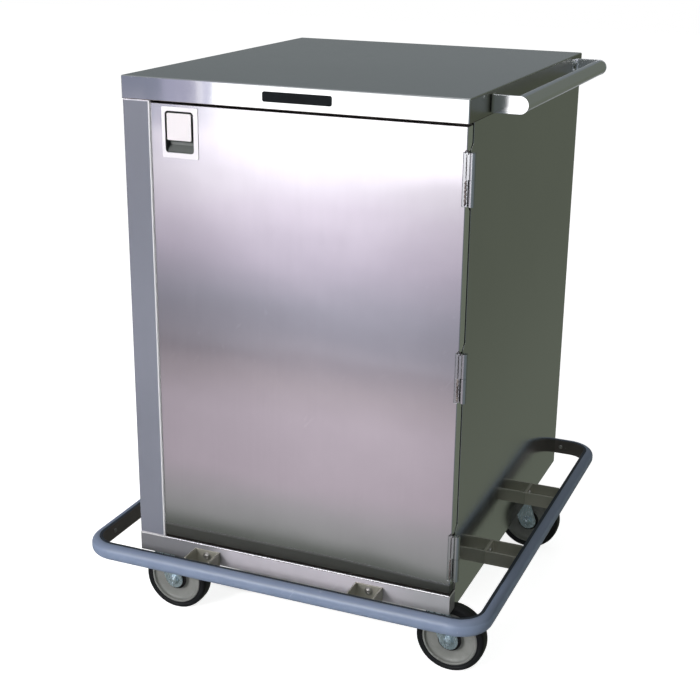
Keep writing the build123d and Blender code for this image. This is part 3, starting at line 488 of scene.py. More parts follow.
tube_steel = sheet_steel(
    "tube steel", light=(0.92, 0.93, 0.99), dark=(0.86, 0.87, 0.94), roughness=0.13, grain=ALONG_Y,
    stretch=0.5, turn=TURN_Y)
cheek_steel = sheet_steel(
    "handle cheek steel", light=(0.74, 0.74, 0.75), dark=(0.68, 0.68, 0.69), roughness=0.12, grain=UPRIGHT,
    stretch=0.4, edge=0.0006)
# Painted shade on the latch plate: dark lines on its edges, deep shade in the cup and a lighter shade on the
# cup's sloping floor
latch_steel = sheet_steel(
    "latch plate steel", light=(0.82, 0.79, 0.83), dark=(0.79, 0.76, 0.80), roughness=0.28, grain=UPRIGHT,
    stretch=0.5, edge=0.0004, wear=0.0, scratch=0.02, cloud=0.15, metallic=0.25,
    zones=((latch_rim_shade, (0.2, 0.2, 0.22), 0.1), (latch_recess_shade, (0.035, 0.039, 0.037), 0.3),
           (latch_slope_half_shade, (0.15, 0.16, 0.155), 0.0)))
# The paddle's back, behind the plate, is painted dark: painted shade
paddle_steel = sheet_steel(
    "latch paddle steel", light=(0.76, 0.72, 0.74), dark=(0.74, 0.70, 0.72), roughness=0.28, grain=UPRIGHT,
    stretch=0.3, wear=0.35, scratch=0.02, cloud=0.15, metallic=0.2,
    zones=((paddle_back_shade, (0.1, 0.1, 0.1), 0.2),))
bracket_steel = sheet_steel(
    "bracket steel", light=(0.52, 0.50, 0.44), dark=(0.42, 0.40, 0.35), roughness=0.42, grain=UPRIGHT,
    stretch=0.2, cloud=0.6, metallic=0.7, wear=0.05)
# The track's upward faces are painted darker: painted shade
track_metal = sheet_steel(
    "track aluminium", light=(0.22, 0.195, 0.18), dark=(0.13, 0.115, 0.11), roughness=0.42, grain=UPRIGHT,
    stretch=0.2, wear=0.03, cloud=0.6, metallic=0.8, zones=((top_facing, (0.045, 0.055, 0.07), 0.2),))

# Fasteners and welds

# A near-white steel for the sill's rolled edge: a painted highlight
sill_edge_highlight = cast_metal(
    "rubbed edge", light=(0.95, 0.94, 0.95), dark=(0.90, 0.89, 0.91), roughness=0.2, dust=0.0, wear=0.0)
weld_metal = cast_metal(
    "weld bead", light=(0.42, 0.36, 0.33), dark=(0.05, 0.04, 0.045), roughness=0.3, edge=0.0004, dust=0.0,
    wear=0.3)
# Near-black metal for the seams and cut-out rims by the hinges: painted shade of their gaps
seam_shade_metal = cast_metal(
    "seam shadow", light=(0.10, 0.09, 0.09), dark=(0.05, 0.045, 0.05), roughness=0.5, dust=0.0, wear=0.1)
bright_bolts = cast_metal(
    "bright fasteners", light=(0.78, 0.79, 0.80), dark=(0.64, 0.65, 0.66), roughness=0.18)
dull_bolts = cast_metal(
    "dull fasteners", light=(0.46, 0.44, 0.42), dark=(0.30, 0.29, 0.28), roughness=0.34, dust=0.1, wear=0.25)
blue_zinc = cast_metal(
    "blue zinc plating", light=(0.60, 0.72, 0.79), dark=(0.40, 0.50, 0.56), roughness=0.24, metallic=0.8)

# Plastic, vinyl and rubber

# The bumper's upward faces are painted darker: painted shade
bumper_skin = moulding(
    "bumper vinyl", light=(0.225, 0.28, 0.405), dark=(0.195, 0.245, 0.36), roughness=0.4, grit=420.0,
    depth=0.0001, coat=0.2, worn=(0.4, 0.46, 0.6), dust=0.03, upper=(0.168, 0.21, 0.31))
badge_black = moulding(
    "badge black", light=(0.006, 0.009, 0.011), dark=(0.003, 0.004, 0.005), roughness=0.5, grit=900.0,
    depth=0.00002, dust=0.01, worn=(0.05, 0.05, 0.05), gloss=0.08)
cap_black = moulding(
    "hub cap black", light=(0.012, 0.012, 0.013), dark=(0.006, 0.006, 0.007), roughness=0.35, grit=600.0,
    depth=0.00008, dust=0.03, gloss=0.2)
seal_black = moulding(
    "seal rubber", light=(0.02, 0.02, 0.02), dark=(0.012, 0.012, 0.012), roughness=0.7, grit=500.0,
    depth=0.0001, dust=0.1, gloss=0.2)
core_grey = moulding(
    "wheel nylon", light=(0.25, 0.255, 0.245), dark=(0.18, 0.185, 0.175), roughness=0.38, grit=380.0,
    depth=0.00012, dust=0.1, worn=(0.45, 0.45, 0.45), gloss=0.4)
tread_black = moulding(
    "tread rubber", light=(0.012, 0.013, 0.015), dark=(0.006, 0.006, 0.007), roughness=0.36, grit=520.0,
    depth=0.0001, dust=0.04, worn=(0.03, 0.03, 0.03), gloss=0.22)

FINISHES = {
    door_steel: ["door_outer_pan"],
    hinge_steel: ["hinge_door_leaves", "hinge_cabinet_leaves"],
    side_steel: ["side_panel_left", "side_panel_right", "back_panel"],
    shaded_stile_steel: ["left_stile"],
    top_steel: ["top_panel"],
    sill_steel: ["sill_rail"],
    inside_steel: ["door_inner_pan", "latch_strike", "door_top_rail", "shelf_standards", "shelf_clips",
                   "latch_bolt"],
    shelf_steel: ["floor_pan", "shelf_lower", "shelf_upper"],
    tube_steel: ["handle_bar"],
    cheek_steel: ["handle_end_front", "handle_end_back"],
    latch_steel: ["latch_cup"],
    paddle_steel: ["latch_paddle"],
    bracket_steel: ["bumper_brackets_" + side for side in SIDES],
    bright_bolts: ["hinge_pins", "handle_screws", "bumper_track_screws", "bracket_bolts",
                   "caster_plate_bolts", "latch_pivot_pin", "latch_spring"],
    blue_zinc: ["caster_bolsters", "caster_plates"] + [kind + corner for kind in ("fork_", "axle_")
                                                       for corner in CORNERS],
    track_metal: ["bumper_track"],
    bumper_skin: ["bumper_strip"],
    badge_black: ["badge_plate"],
    cap_black: ["hub_caps_" + corner for corner in CORNERS],
    seal_black: ["door_seal"],
    core_grey: ["wheel_" + corner for corner in CORNERS],
    tread_black: ["tyre_" + corner for corner in CORNERS],
}
for finish, names in FINISHES.items():
    for name in names:
        for place in nodes[name].material_slots:
            place.material = finish


def placed(name, data):
    """A new object in the scene, with its mesh, lamp or camera."""
    piece = bpy.data.objects.new(name, data)
    bpy.context.scene.collection.objects.link(piece)
    return piece


def stand(piece, across, above, back, place):
    """Stand a lamp or the camera somewhere: its own X, Y and Z axes and where it is."""
    turned = Matrix(np.stack([across, above, back], 1).tolist()).to_4x4()
    turned.translation = place
    piece.matrix_world = turned


# Fasteners, wheels, handle cheeks and weld beads, worked out as grids of points in millimetres
# Their places are measured from the middle of the cabinet, which stands at CABINET in the frame

MILLIMETRE = 0.001
CABINET = np.array((8.5, -9.0, 0.0))


def axes(axis):
    """Two directions across an axis, at right angles to it and to each other, and the axis."""
    axis = np.array(axis, float)
    across = np.cross(axis, (1.0, 0.0, 0.0) if abs(axis[2]) > 0.9 else (0.0, 0.0, 1.0))
    return across, np.cross(axis, across), axis


def turned(centre, axis, profile, flats=(), sides=48):
    """A turned shape: each (radius, height) of the profile is carried round the axis.

    The rows named in flats go round a hexagon instead: their radius is divided by the cosine of the
    angle from the middle of the nearest flat.
    """
    radius, height = np.array(profile, float).T
    turn = np.linspace(0.0, 2.0 * math.pi, sides, endpoint=False)
    wide = np.repeat(radius[:, None], sides, 1)
    wide[list(flats)] /= np.cos(turn % (math.pi / 3) - math.pi / 6)
    across, over, along = axes(axis)
    return (np.array(centre, float) + (wide * np.cos(turn))[..., None] * across
            + (wide * np.sin(turn))[..., None] * over + height[:, None, None] * along)


def fitting(name, grids, finish, body, stands_for=(), crease=32.0):
    """One piece from grids of points: columns join round, rows in one point are merged, faces look out.

    body is what it rides on, stands_for the nodes that it replaces, and crease the angle in degrees
    from which an edge stays sharp.
    """
    points = []
    faces = []
    start = 0
    for grid in grids:
        rows, columns = grid.shape[:2]
        here = start + np.arange(rows * columns).reshape(rows, columns)
        there = np.roll(here, -1, 1)
        faces.append(np.stack([here[:-1], there[:-1], there[1:], here[1:]], -1).reshape(-1, 4))
        points.append(grid.reshape(-1, 3) * MILLIMETRE)
        start += rows * columns
    mesh = bpy.data.meshes.new(name)
    mesh.from_pydata(np.concatenate(points).tolist(), [], np.concatenate(faces).tolist())
    shell = bmesh.new()
    shell.from_mesh(mesh)
    bmesh.ops.remove_doubles(shell, verts=shell.verts, dist=1e-6)
    bmesh.ops.recalc_face_normals(shell, faces=shell.faces)
    shell.to_mesh(mesh)
    shell.free()
    mesh.polygons.foreach_set("use_smooth", np.ones(len(mesh.polygons), bool))
    mesh.set_sharp_from_angle(angle=math.radians(crease))
    mesh.materials.append(finish)
    piece = placed(name, mesh)
    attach(piece, body)
    if stands_for:
        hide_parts(*stands_for)
    return piece


# Bolts of the bumper brackets: button heads with a hexagon socket, over washers


def button_bolt(spot, axis, shank, head, height, socket):
    """A button-head bolt on one axis: the radii of shank, head and socket, and the dome's height."""
    seat = 3.5
    washer = [(shank, seat - 1.0), (head + 1.6, seat - 1.0), (head + 1.8, seat - 0.7),
              (head + 1.7, seat - 0.2), (shank, seat)]
    lifts = np.radians((0, 12, 25, 38, 50, 61))
    dome = [(head * math.cos(lift), seat + 0.1 + height * math.sin(lift)) for lift in lifts]
    top = dome[-1][1]
    stem = [(0.0, 0.0), (shank, 0.0), (shank, seat), (head - 0.1, seat)]
    recess = [(socket + 0.3, top + 0.1), (socket, top - 0.2), (socket, top - 2.0), (0.0, top - 2.2)]
    hexagon = (len(stem) + len(dome) + 1, len(stem) + len(dome) + 2)
    return [turned(spot, axis, washer), turned(spot, axis, stem + dome + recess, flats=hexagon)]


BRACKET_BOLT_LEVEL = 140.5
# Each wall: which way it faces, how far out it is, and the middle and half the spacing of its two bolts
BRACKET_WALLS = (((0.0, -1.0, 0.0), 360.5, -3.5, 159.5), ((0.0, 1.0, 0.0), 360.3, -3.5, 159.5),
                 ((1.0, 0.0, 0.0), 303.8, 6.0, 138.5), ((-1.0, 0.0, 0.0), 303.8, 6.0, 138.5))
bolts = []
for outward, wall, middle, reach in BRACKET_WALLS:
    sideways = np.abs((outward[1], outward[0], 0.0))
    for end in (-1, 1):
        spot = np.array(outward) * wall + sideways * (middle + end * reach) + (0.0, 0.0, BRACKET_BOLT_LEVEL)
        bolts += button_bolt(spot + CABINET, outward, shank=3.95, head=6.4, height=3.4, socket=2.4)
fitting("bracket_button_bolts", bolts, dull_bolts, "cabinet", ("bracket_bolts",))

# Cap screws of the push handle, two in the foot of each cheek

HANDLE_RIM = 305.0
HANDLE_LEVEL = 984.0
# Where each cheek's outer end is along Y, and which way its foot runs from there
HANDLE_ENDS = {"front": (-262.5, 1), "back": (298.5, -1)}
CAP_SCREW_INSET = 13.5
CAP_SCREW_RISE = 8.0
CAP_SCREW = [(0.0, 0.0), (2.45, 0.0), (2.45, 3.05), (4.3, 3.05), (4.5, 3.5), (4.2, 4.5), (3.2, 5.1),
             (1.9, 5.25), (1.75, 5.1), (1.7, 3.9), (0.0, 3.7)]
screws = []
for end, inward in HANDLE_ENDS.values():
    for rise in (-CAP_SCREW_RISE, CAP_SCREW_RISE):
        spot = np.array((HANDLE_RIM, end + inward * CAP_SCREW_INSET, HANDLE_LEVEL + rise)) + CABINET
        screws.append(turned(spot, (1.0, 0.0, 0.0), CAP_SCREW, flats=(8, 9)))
fitting("handle_cap_screws", screws, bright_bolts, "cabinet", ("handle_screws",))

# Pan-head screws inside the bumper's track, near each corner, measured from the middle of the bumper's ring

TRACK_HALF_WIDTH = 370.5
TRACK_HALF_DEPTH = 411.5
TRACK_LEVEL = 135.0
TRACK_SCREW_INSET_X = 59.0
TRACK_SCREW_INSET_Y = 70.0
PAN_SCREW = [(0.0, -1.0), (3.0, -1.0), (3.0, 0.0), (4.4, 0.02), (4.5, 0.5), (4.0, 1.4), (2.9, 1.9),
             (1.5, 2.0), (1.4, 1.9), (1.3, 0.8), (0.0, 0.7)]
track_screws = []
for side in (-1, 1):
    for end in (-1, 1):
        along_x = (end * (TRACK_HALF_WIDTH - TRACK_SCREW_INSET_X), side * TRACK_HALF_DEPTH, TRACK_LEVEL)
        along_y = (side * TRACK_HALF_WIDTH, end * (TRACK_HALF_DEPTH - TRACK_SCREW_INSET_Y), TRACK_LEVEL)
        track_screws.append(turned(along_x, (0.0, -side, 0.0), PAN_SCREW, flats=(8, 9)))
        track_screws.append(turned(along_y, (-side, 0.0, 0.0), PAN_SCREW, flats=(8, 9)))
fitting("track_pan_screws", track_screws, dull_bolts, "cabinet", ("bumper_track_screws",))

# The push handle's two bent cheeks


def strap(end, inward):
    """A handle cheek: a strip bent through a quarter turn against the panel, with a round outer end.

    Rows follow the bent centre line from the foot to the round end; each row is the strip's thickness and
    height as a loop with chamfered corners, and the height falls as a circle does along the round end.
    """
    foot = 24.0
    bend = 9.0
    grip = 354.0
    half_width = 14.5
    half_sheet = 1.5
    turn = np.linspace(0.0, math.pi / 2, 9)
    lift = np.linspace(0.0, math.pi / 2, 13)[1:]
    inner = bend - half_sheet
    x = np.concatenate([np.full(2, HANDLE_RIM + half_sheet), HANDLE_RIM + bend - inner * np.cos(turn),
                        [grip - 8.0, grip], grip + half_width * np.sin(lift)])
    y = np.concatenate([[foot, foot - 0.01], bend - inner * np.sin(turn), np.full(2 + lift.size, half_sheet)])
    outward = np.concatenate([np.tile([-1.0, 0.0], (2, 1)), -np.stack([np.cos(turn), np.sin(turn)], 1),
                              np.tile([0.0, -1.0], (2 + lift.size, 1))])
    height = np.concatenate([[0.0], np.full(turn.size + 3, half_width), half_width * np.cos(lift)])
    thick = np.concatenate([[0.0], np.full(x.size - 1, half_sheet)])
    upper = [(1, 0.97), (0.8, 1), (-0.8, 1), (-1, 0.97)]
    loop = np.array(upper + [(across, -over) for across, over in upper[::-1]])
    place = np.zeros((x.size, len(loop), 3))
    place[..., 0] = x[:, None] + outward[:, :1] * thick[:, None] * loop[:, 0]
    place[..., 1] = y[:, None] + outward[:, 1:] * thick[:, None] * loop[:, 0]
    place[..., 2] = HANDLE_LEVEL + height[:, None] * loop[:, 1]
    place[..., 1] = end + inward * place[..., 1]
    return place + CABINET


for side, (end, inward) in HANDLE_ENDS.items():
    fitting("handle_cheek_" + side, [strap(end, inward)], cheek_steel, "cabinet",
            ("handle_end_" + side,))

# Casters: a dished nylon core, a ridged rubber tread, two thread guards and an axle bolt with its nut
# Each profile is (radius, distance from the wheel's middle or from the face that it seats on)

SWIVELS = {"front_left": (-273.0, -320.0), "front_right": (273.0, -320.0), "back_left": (-273.0, 195.0),
           "back_right": (273.0, 195.0)}
TRAIL = 25.0
AXLE_LEVEL = 62.5
HUB_HALF = 12.0
LEG_FACE = 19.5
CORE = [(5.1, 11.6), (5.6, 12.0), (20.6, 12.0), (21.8, 11.3), (22.0, 8.4), (22.7, 7.1), (24.5, 6.2),
        (29.0, 6.1), (36.0, 7.0), (42.0, 8.3), (44.8, 9.5), (46.0, 11.2), (46.4, 13.2), (46.9, 14.0),
        (47.7, 14.3), (49.2, 14.3), (50.1, 13.8), (50.4, 12.8)]
TYRE = [(50.5, 14.2), (50.9, 14.8), (51.6, 15.0), (53.0, 15.0), (53.4, 14.6), (53.9, 14.6), (54.3, 15.0),
        (57.4, 14.9), (59.2, 14.5), (60.5, 13.6), (61.4, 12.2), (61.9, 10.4), (62.2, 7.0), (62.35, 2.0),
        (62.38, 0.6), (62.5, 0.3)]
CAP = [(6.0, 0.05), (6.0, 3.1), (6.4, 3.45), (17.4, 3.45), (17.8, 3.0), (18.6, 3.0), (19.0, 3.45),
       (20.5, 3.4), (21.3, 2.9), (21.5, 2.1), (21.5, 0.4), (21.1, 0.05), (6.0, 0.05)]
NUT = [(5.1, 1.45), (7.6, 1.45), (8.0, 1.7), (8.0, 4.4), (7.6, 4.9), (7.0, 5.3), (6.7, 6.3), (6.3, 6.5),
       (5.4, 6.5), (5.3, 5.9), (5.1, 5.9), (5.1, 1.45)]
DISC = [(5.1, 0.02), (9.5, 0.02), (9.8, 0.3), (9.8, 1.1), (9.5, 1.4), (5.1, 1.4), (5.1, 0.02)]
HEAD = [(0.0, 1.45), (7.6, 1.45), (8.0, 1.7), (8.0, 5.4), (7.6, 6.0), (6.9, 6.5), (4.6, 6.5), (4.2, 6.1),
        (0.0, 6.0)]
THREAD_TURNS = 11
THREAD_PITCH = 0.4
THREAD_DEPTH = 0.3
THREAD = [(4.9 - THREAD_DEPTH * (i % 2), 1.6 + THREAD_PITCH * i) for i in range(THREAD_TURNS)]
SHAFT = [(0.0, -39.5), (5.0, -39.5), (5.0, 1.4), (4.9, 1.5)] + THREAD + [(4.4, 6.2), (3.8, 6.5), (0.0, 6.5)]


def mirrored(half):
    """A section and its mirror image across the wheel's middle, as one closed line."""
    return half + [(radius, -height) for radius, height in half[::-1]] + half[:1]


for corner, (swivel_x, swivel_y) in SWIVELS.items():
    hub = np.array((swivel_x + TRAIL, swivel_y, AXLE_LEVEL)) + CABINET
    forward = (0.0, -1.0, 0.0)
    rearward = (0.0, 1.0, 0.0)
    fitting("wheel_core_" + corner, [turned(hub, rearward, mirrored(CORE), sides=96)], core_grey,
            "wheel_" + corner, ("wheel_" + corner,))
    fitting("wheel_tread_" + corner, [turned(hub, rearward, mirrored(TYRE), sides=120)], tread_black,
            "wheel_" + corner, ("tyre_" + corner,), crease=50.0)
    caps = [turned(hub + np.array(out) * HUB_HALF, out, CAP, sides=72) for out in (forward, rearward)]
    fitting("thread_guards_" + corner, caps, cap_black, "wheel_" + corner,
            ("hub_caps_" + corner,))
    front_leg = hub + np.array(forward) * LEG_FACE
    back_leg = hub + np.array(rearward) * LEG_FACE
    axle = [turned(front_leg, forward, SHAFT), turned(front_leg, forward, DISC),
            turned(front_leg, forward, NUT, flats=(2, 3)), turned(back_leg, rearward, DISC),
            turned(back_leg, rearward, HEAD, flats=(2, 3))]
    fitting("axle_bolt_" + corner, axle, blue_zinc, "fork_" + corner, ("axle_" + corner,))


def hexagon_head(spot, axis, flat, height, washer):
    """A chamfered hexagon head over a washer, both closed round the shank.

    flat is half the head's width over its flats, and washer is the washer's radius.
    """
    thick = 1.4
    disc = [(0.5, 0.0), (washer - 0.2, 0.0), (washer, 0.3), (washer, thick - 0.3), (washer - 0.3, thick),
            (0.5, thick), (0.5, 0.0)]
    low = thick + 0.05
    head = [(0.0, low), (flat - 0.5, low), (flat, low + 0.3), (flat, height - 0.9),
            (flat - 0.15, height - 0.35), (flat - 0.9, height), (flat * 0.55, height),
            (flat * 0.5, height - 0.5), (0.0, height - 0.6)]
    return [turned(spot, axis, disc), turned(spot, axis, head, flats=(2, 3))]


PLATE_BOLT_X = 20.0
PLATE_BOLT_Y = 30.0
PLATE_LEVEL = 155.0
PLATE_SHANK = [(0.0, -0.5), (3.95, -0.5), (3.95, 5.8), (0.0, 5.8)]
plate_bolts = []
for swivel_x, swivel_y in SWIVELS.values():
    for aside in (-PLATE_BOLT_X, PLATE_BOLT_X):
        for ahead in (-PLATE_BOLT_Y, PLATE_BOLT_Y):
            spot = np.array((swivel_x + aside, swivel_y + ahead, PLATE_LEVEL)) + CABINET
            plate_bolts += hexagon_head(spot, (0.0, 0.0, -1.0), flat=6.5, height=5.3, washer=7.6)
            plate_bolts.append(turned(spot, (0.0, 0.0, 1.0), PLATE_SHANK))
fitting("caster_hexagon_bolts", plate_bolts, bright_bolts, "cabinet", ("caster_plate_bolts",))

# Welds and cut-outs round the hinges, on the door's edge; the dark seams and cut-out rims are painted shade
# of their gaps

HINGE_HEIGHT = 84.0
HINGE_LEVELS = (192.0, 515.0, 838.0)
SEAM_X = 302.2
SEAM_Y = -360.7


def bead(spot, length, radius, pitch, sides=10):
    """An upright weld bead: a thin tube that swells at each puddle, wanders and tapers at both ends."""
    along = np.arange(0.0, length + 0.01, 0.35)
    swell = 0.72 + 0.28 * np.abs(np.sin(math.pi * along / pitch)) + 0.12 * np.sin(along * 1.7 + spot[2])
    width = radius * swell * np.clip(np.minimum(along, length - along) / (2.0 * radius), 0.0, 1.0) ** 0.5
    turn = np.linspace(0.0, 2.0 * math.pi, sides, endpoint=False)
    grid = np.zeros((along.size, sides, 3))
    grid[..., 0] = width[:, None] * np.cos(turn) + (0.25 * radius * np.sin(along * 0.9 + spot[2]))[:, None]
    grid[..., 1] = width[:, None] * np.sin(turn) * 0.6
    grid[..., 2] = along[:, None]
    return grid + np.array(spot) + CABINET


def cut_out(level, steps=24, sides=8):
    """The dark rim of a hinge's cut-out, a painted shade of its gap: a thin tube along an arc over the hinge,
    tapered at both ends.
    """
    turn = np.linspace(-0.5, 4.2, steps)
    path = np.stack([SEAM_X + 0.2 - 2.8 * np.cos(turn), np.full(steps, SEAM_Y),
                     level + HINGE_HEIGHT + 3.4 * np.sin(turn)], 1)
    away = np.stack([-np.cos(turn), np.zeros(steps), np.sin(turn)], 1)
    order = np.arange(steps)
    thin = np.clip(np.minimum(order, steps - 1 - order) / 2.0, 0.0, 1.0)[:, None, None]
    section = np.linspace(0.0, 2.0 * math.pi, sides, endpoint=False)[:, None]
    ring = np.cos(section) * away[:, None] + np.sin(section) * (0.0, 1.0, 0.0)
    return path[:, None] + thin * ring + CABINET


welds = [bead((SEAM_X, SEAM_Y, level + 1.0), length=41.0, radius=2.1, pitch=3.1) for level in HINGE_LEVELS]
fitting("hinge_weld_beads", welds, weld_metal, "door", crease=60.0)
seams = [bead((SEAM_X, SEAM_Y + 0.1, level + HINGE_HEIGHT / 2), length=40.0, radius=0.9, pitch=40.0)
         for level in HINGE_LEVELS]
seams += [cut_out(level) for level in HINGE_LEVELS]
fitting("hinge_cut_outs", seams, seam_shade_metal, "door", crease=60.0)

# The sill's upper bend: a rolled edge with flat ends, from the stile to the hinges, in a near-white finish
# that is a painted highlight

EDGE_RADIUS = 1.9
EDGE_INSET = 1.6
EDGE_DROP = 1.7
edge_turn = np.linspace(0.0, 2.0 * math.pi, 24, endpoint=False)
edge_length = np.array([-244.0, -243.4, 310.4, 311.0])
edge_width = np.array([0.0, EDGE_RADIUS, EDGE_RADIUS, 0.0])
edge = np.zeros((4, 24, 3))
edge[..., 0] = edge_length[:, None]
edge[..., 1] = FACE_Y / MILLIMETRE + EDGE_INSET - edge_width[:, None] * np.cos(edge_turn)
edge[..., 2] = SILL_LEDGE / MILLIMETRE - EDGE_DROP + edge_width[:, None] * np.sin(edge_turn)
fitting("sill_rolled_edge", [edge], sill_edge_highlight, "cabinet", crease=60.0)

# A rivet at the header's right front corner, and the screws that hold the shelf standards inside

RIVET = [(0.0, -0.3), (1.9, -0.3), (1.9, 0.1), (1.6, 0.7), (0.9, 1.1), (0.0, 1.25)]
rivet_spot = np.array((HANDLE_RIM, -293.0, 998.0)) + CABINET
fitting("header_rivet", [turned(rivet_spot, (1.0, 0.0, 0.0), RIVET)], bright_bolts, "cabinet")

DOME_SCREW = [(0.0, -0.5), (3.6, -0.5), (3.6, 0.3), (3.2, 1.1), (2.2, 1.6), (1.5, 1.7), (1.4, 1.6),
              (1.3, 0.9), (0.0, 0.8)]
STANDARD_FACE = 292.6
STANDARD_PLACES = (-237.5, 264.1)
STANDARD_LEVELS = (208.6, 538.8, 894.4)
standard_screws = []
for side in (-1.0, 1.0):
    for y in STANDARD_PLACES:
        for z in STANDARD_LEVELS:
            spot = np.array((side * STANDARD_FACE, y, z)) + CABINET
            standard_screws.append(turned(spot, (-side, 0.0, 0.0), DOME_SCREW, flats=(6, 7), sides=24))
fitting("standard_screws", standard_screws, bright_bolts, "cabinet")


# Studio: a white surround, a pale floor, soft lamps, and glowing cards that only the metal sees: painted
# reflections of a room, with painted shade by and under the cart


def seen_directly(tree):
    """1 for camera, glossy and transmission rays, 0 for light that falls on the object."""
    path = tree.add("LightPath").outputs
    return tree.maths("MAXIMUM", tree.maths("MAXIMUM", path["Is Camera Ray"], path["Is Glossy Ray"]),
                      path["Is Transmission Ray"])


AMBIENT = 0.27
world = bpy.data.worlds.new("studio surround")
bpy.context.scene.world = world
world.use_nodes = True
surround = Tree(world.node_tree)
background = world.node_tree.nodes["Background"]
strength = surround.ramp(seen_directly(surround), 0.0, 1.0, AMBIENT, 1.0)
world.node_tree.links.new(strength, background.inputs["Strength"])
background.inputs["Color"].default_value = (1.0, 1.0, 1.0, 1.0)

# The floor glows where it is seen directly, so that it looks white, and hardly under the cabinet: a painted
# shadow

FLOOR_HALF = 12
FLOOR_GLOW = 0.85
FLOOR_GLOW_IN_SHADOW = 0.1
floor_mesh = bpy.data.meshes.new("floor")
floor_corners = [(x * FLOOR_HALF, y * FLOOR_HALF, 0) for x, y in ((-1, -1), (1, -1), (1, 1), (-1, 1))]
floor_mesh.from_pydata(floor_corners, [], [(0, 1, 2, 3)])
floor = placed("floor", floor_mesh)
floor_paint = bpy.data.materials.new("pale floor")
floor_paint.use_nodes = True
paint = Tree(floor_paint.node_tree)
lit = floor_paint.node_tree.nodes["Principled BSDF"]
lit.inputs["Base Color"].default_value = (0.7, 0.7, 0.7, 1.0)
lit.inputs["Roughness"].default_value = 1.0
lit.inputs["Specular IOR Level"].default_value = 0.0
spot = paint.split(paint.place())
# A painted shadow: the floor's glow fades under the cabinet
across_cabinet = paint.ramp(paint.maths("ABSOLUTE", spot["X"]), 0.26, 0.16)
along_cabinet = paint.times(paint.ramp(spot["Y"], -0.26, -0.18), paint.ramp(spot["Y"], 0.30, 0.20))
shadow_beneath = paint.times(across_cabinet, along_cabinet)
floor_level = paint.ramp(shadow_beneath, 0.0, 1.0, FLOOR_GLOW, FLOOR_GLOW_IN_SHADOW)
glow = paint.add("Emission", {"Strength": paint.times(seen_directly(paint), floor_level)})
total = paint.add("AddShader", {0: lit.outputs[0], 1: glow.outputs[0]})
paint.show(total)
floor.data.materials.append(floor_paint)


def card(name, start, along, up, colour_at, steps=24):
    """A card that only reflections see: start + u * along + v * up, glowing by a formula of x, y and z."""
    u, v = np.meshgrid(np.linspace(0.0, 1.0, steps), np.linspace(0.0, 1.0, steps))
    points = np.array(start) + u[..., None] * np.array(along) + v[..., None] * np.array(up)
    first = (np.arange(steps - 1)[:, None] * steps + np.arange(steps - 1)).ravel()
    faces = np.stack([first, first + 1, first + steps + 1, first + steps], 1)
    mesh = bpy.data.meshes.new(name)
    mesh.from_pydata(points.reshape(-1, 3), [], faces)
    glow = np.ones((steps * steps, 4))
    glow[:, :3] = colour_at(*points.reshape(-1, 3).T)
    mesh.color_attributes.new("glow", "FLOAT_COLOR", "POINT").data.foreach_set("color", glow.ravel())
    piece = placed(name, mesh)
    glowing = bpy.data.materials.new(name)
    glowing.use_nodes = True
    tree = Tree(glowing.node_tree)
    emit = tree.add("Emission", {"Color": tree.add("Attribute", attribute_name="glow").outputs["Color"]})
    tree.show(emit)
    mesh.materials.append(glowing)
    piece.visible_camera = False
    piece.visible_diffuse = False
    piece.visible_shadow = False
    piece.visible_transmission = False
    return piece


def stops(at, steps):
    """Colours between steps of (place, red, green, blue), as an array."""
    steps = np.array(steps)
    return np.stack([np.interp(at, steps[:, 0], steps[:, channel]) for channel in (1, 2, 3)], -1)


def fade(at, edge, width):
    """1 below the edge and 0 above it, smoothly."""
    return 1.0 / (1.0 + np.exp((at - edge) / width))


def share_of(share, first, second):
    """The first colour where the share is 1, the second where it is 0."""
    return first * share[:, None] + second * (1.0 - share[:, None])


def front_floor_glow(x, y, z):
    """A painted reflection of the sweep before the door: painted shade by the cart, one hard edge, brighter
    far off, falling to both sides.

    The painted shade by the cart comes a little less far out on the right, below the hinges.
    """
    nearer = y - np.interp(x, (0.0, 0.17), (0.0, 0.03)) * np.interp(y, (-0.9, -0.8), (0.0, 1.0))
    level = stops(nearer, [
        (-4.4, 1.80, 1.73, 1.85), (-3.5, 1.33, 1.22, 1.39), (-2.8, 0.93, 0.85, 1.00),
        (-2.27, 0.59, 0.585, 0.68), (-2.05, 0.53, 0.52, 0.60), (-1.845, 0.61, 0.58, 0.65),
        (-1.80, 0.515, 0.475, 0.53), (-1.6, 0.67, 0.595, 0.64), (-1.366, 0.76, 0.67, 0.74),
        (-1.0, 0.66, 0.58, 0.64), (-0.855, 0.50, 0.49, 0.50), (-0.765, 0.40, 0.41, 0.40),
        (-0.715, 0.15, 0.165, 0.145), (-0.4, 0.10, 0.11, 0.09)])
    middle = np.interp(y, (-4.4, -2.8, -1.8, -1.0, -0.4), (-1.8, -1.0, -0.46, -0.19, 0.1))
    width = np.interp(y, (-4.4, -2.8, -1.8, -1.0), (0.66, 0.58, 0.48, 0.68))
    sides = 0.5 + 0.52 * np.exp(-((x - middle) / width) ** 2)
    return share_of(fade(x, 0.45, 0.1), level * sides[:, None], np.array((0.20, 0.23, 0.25)))


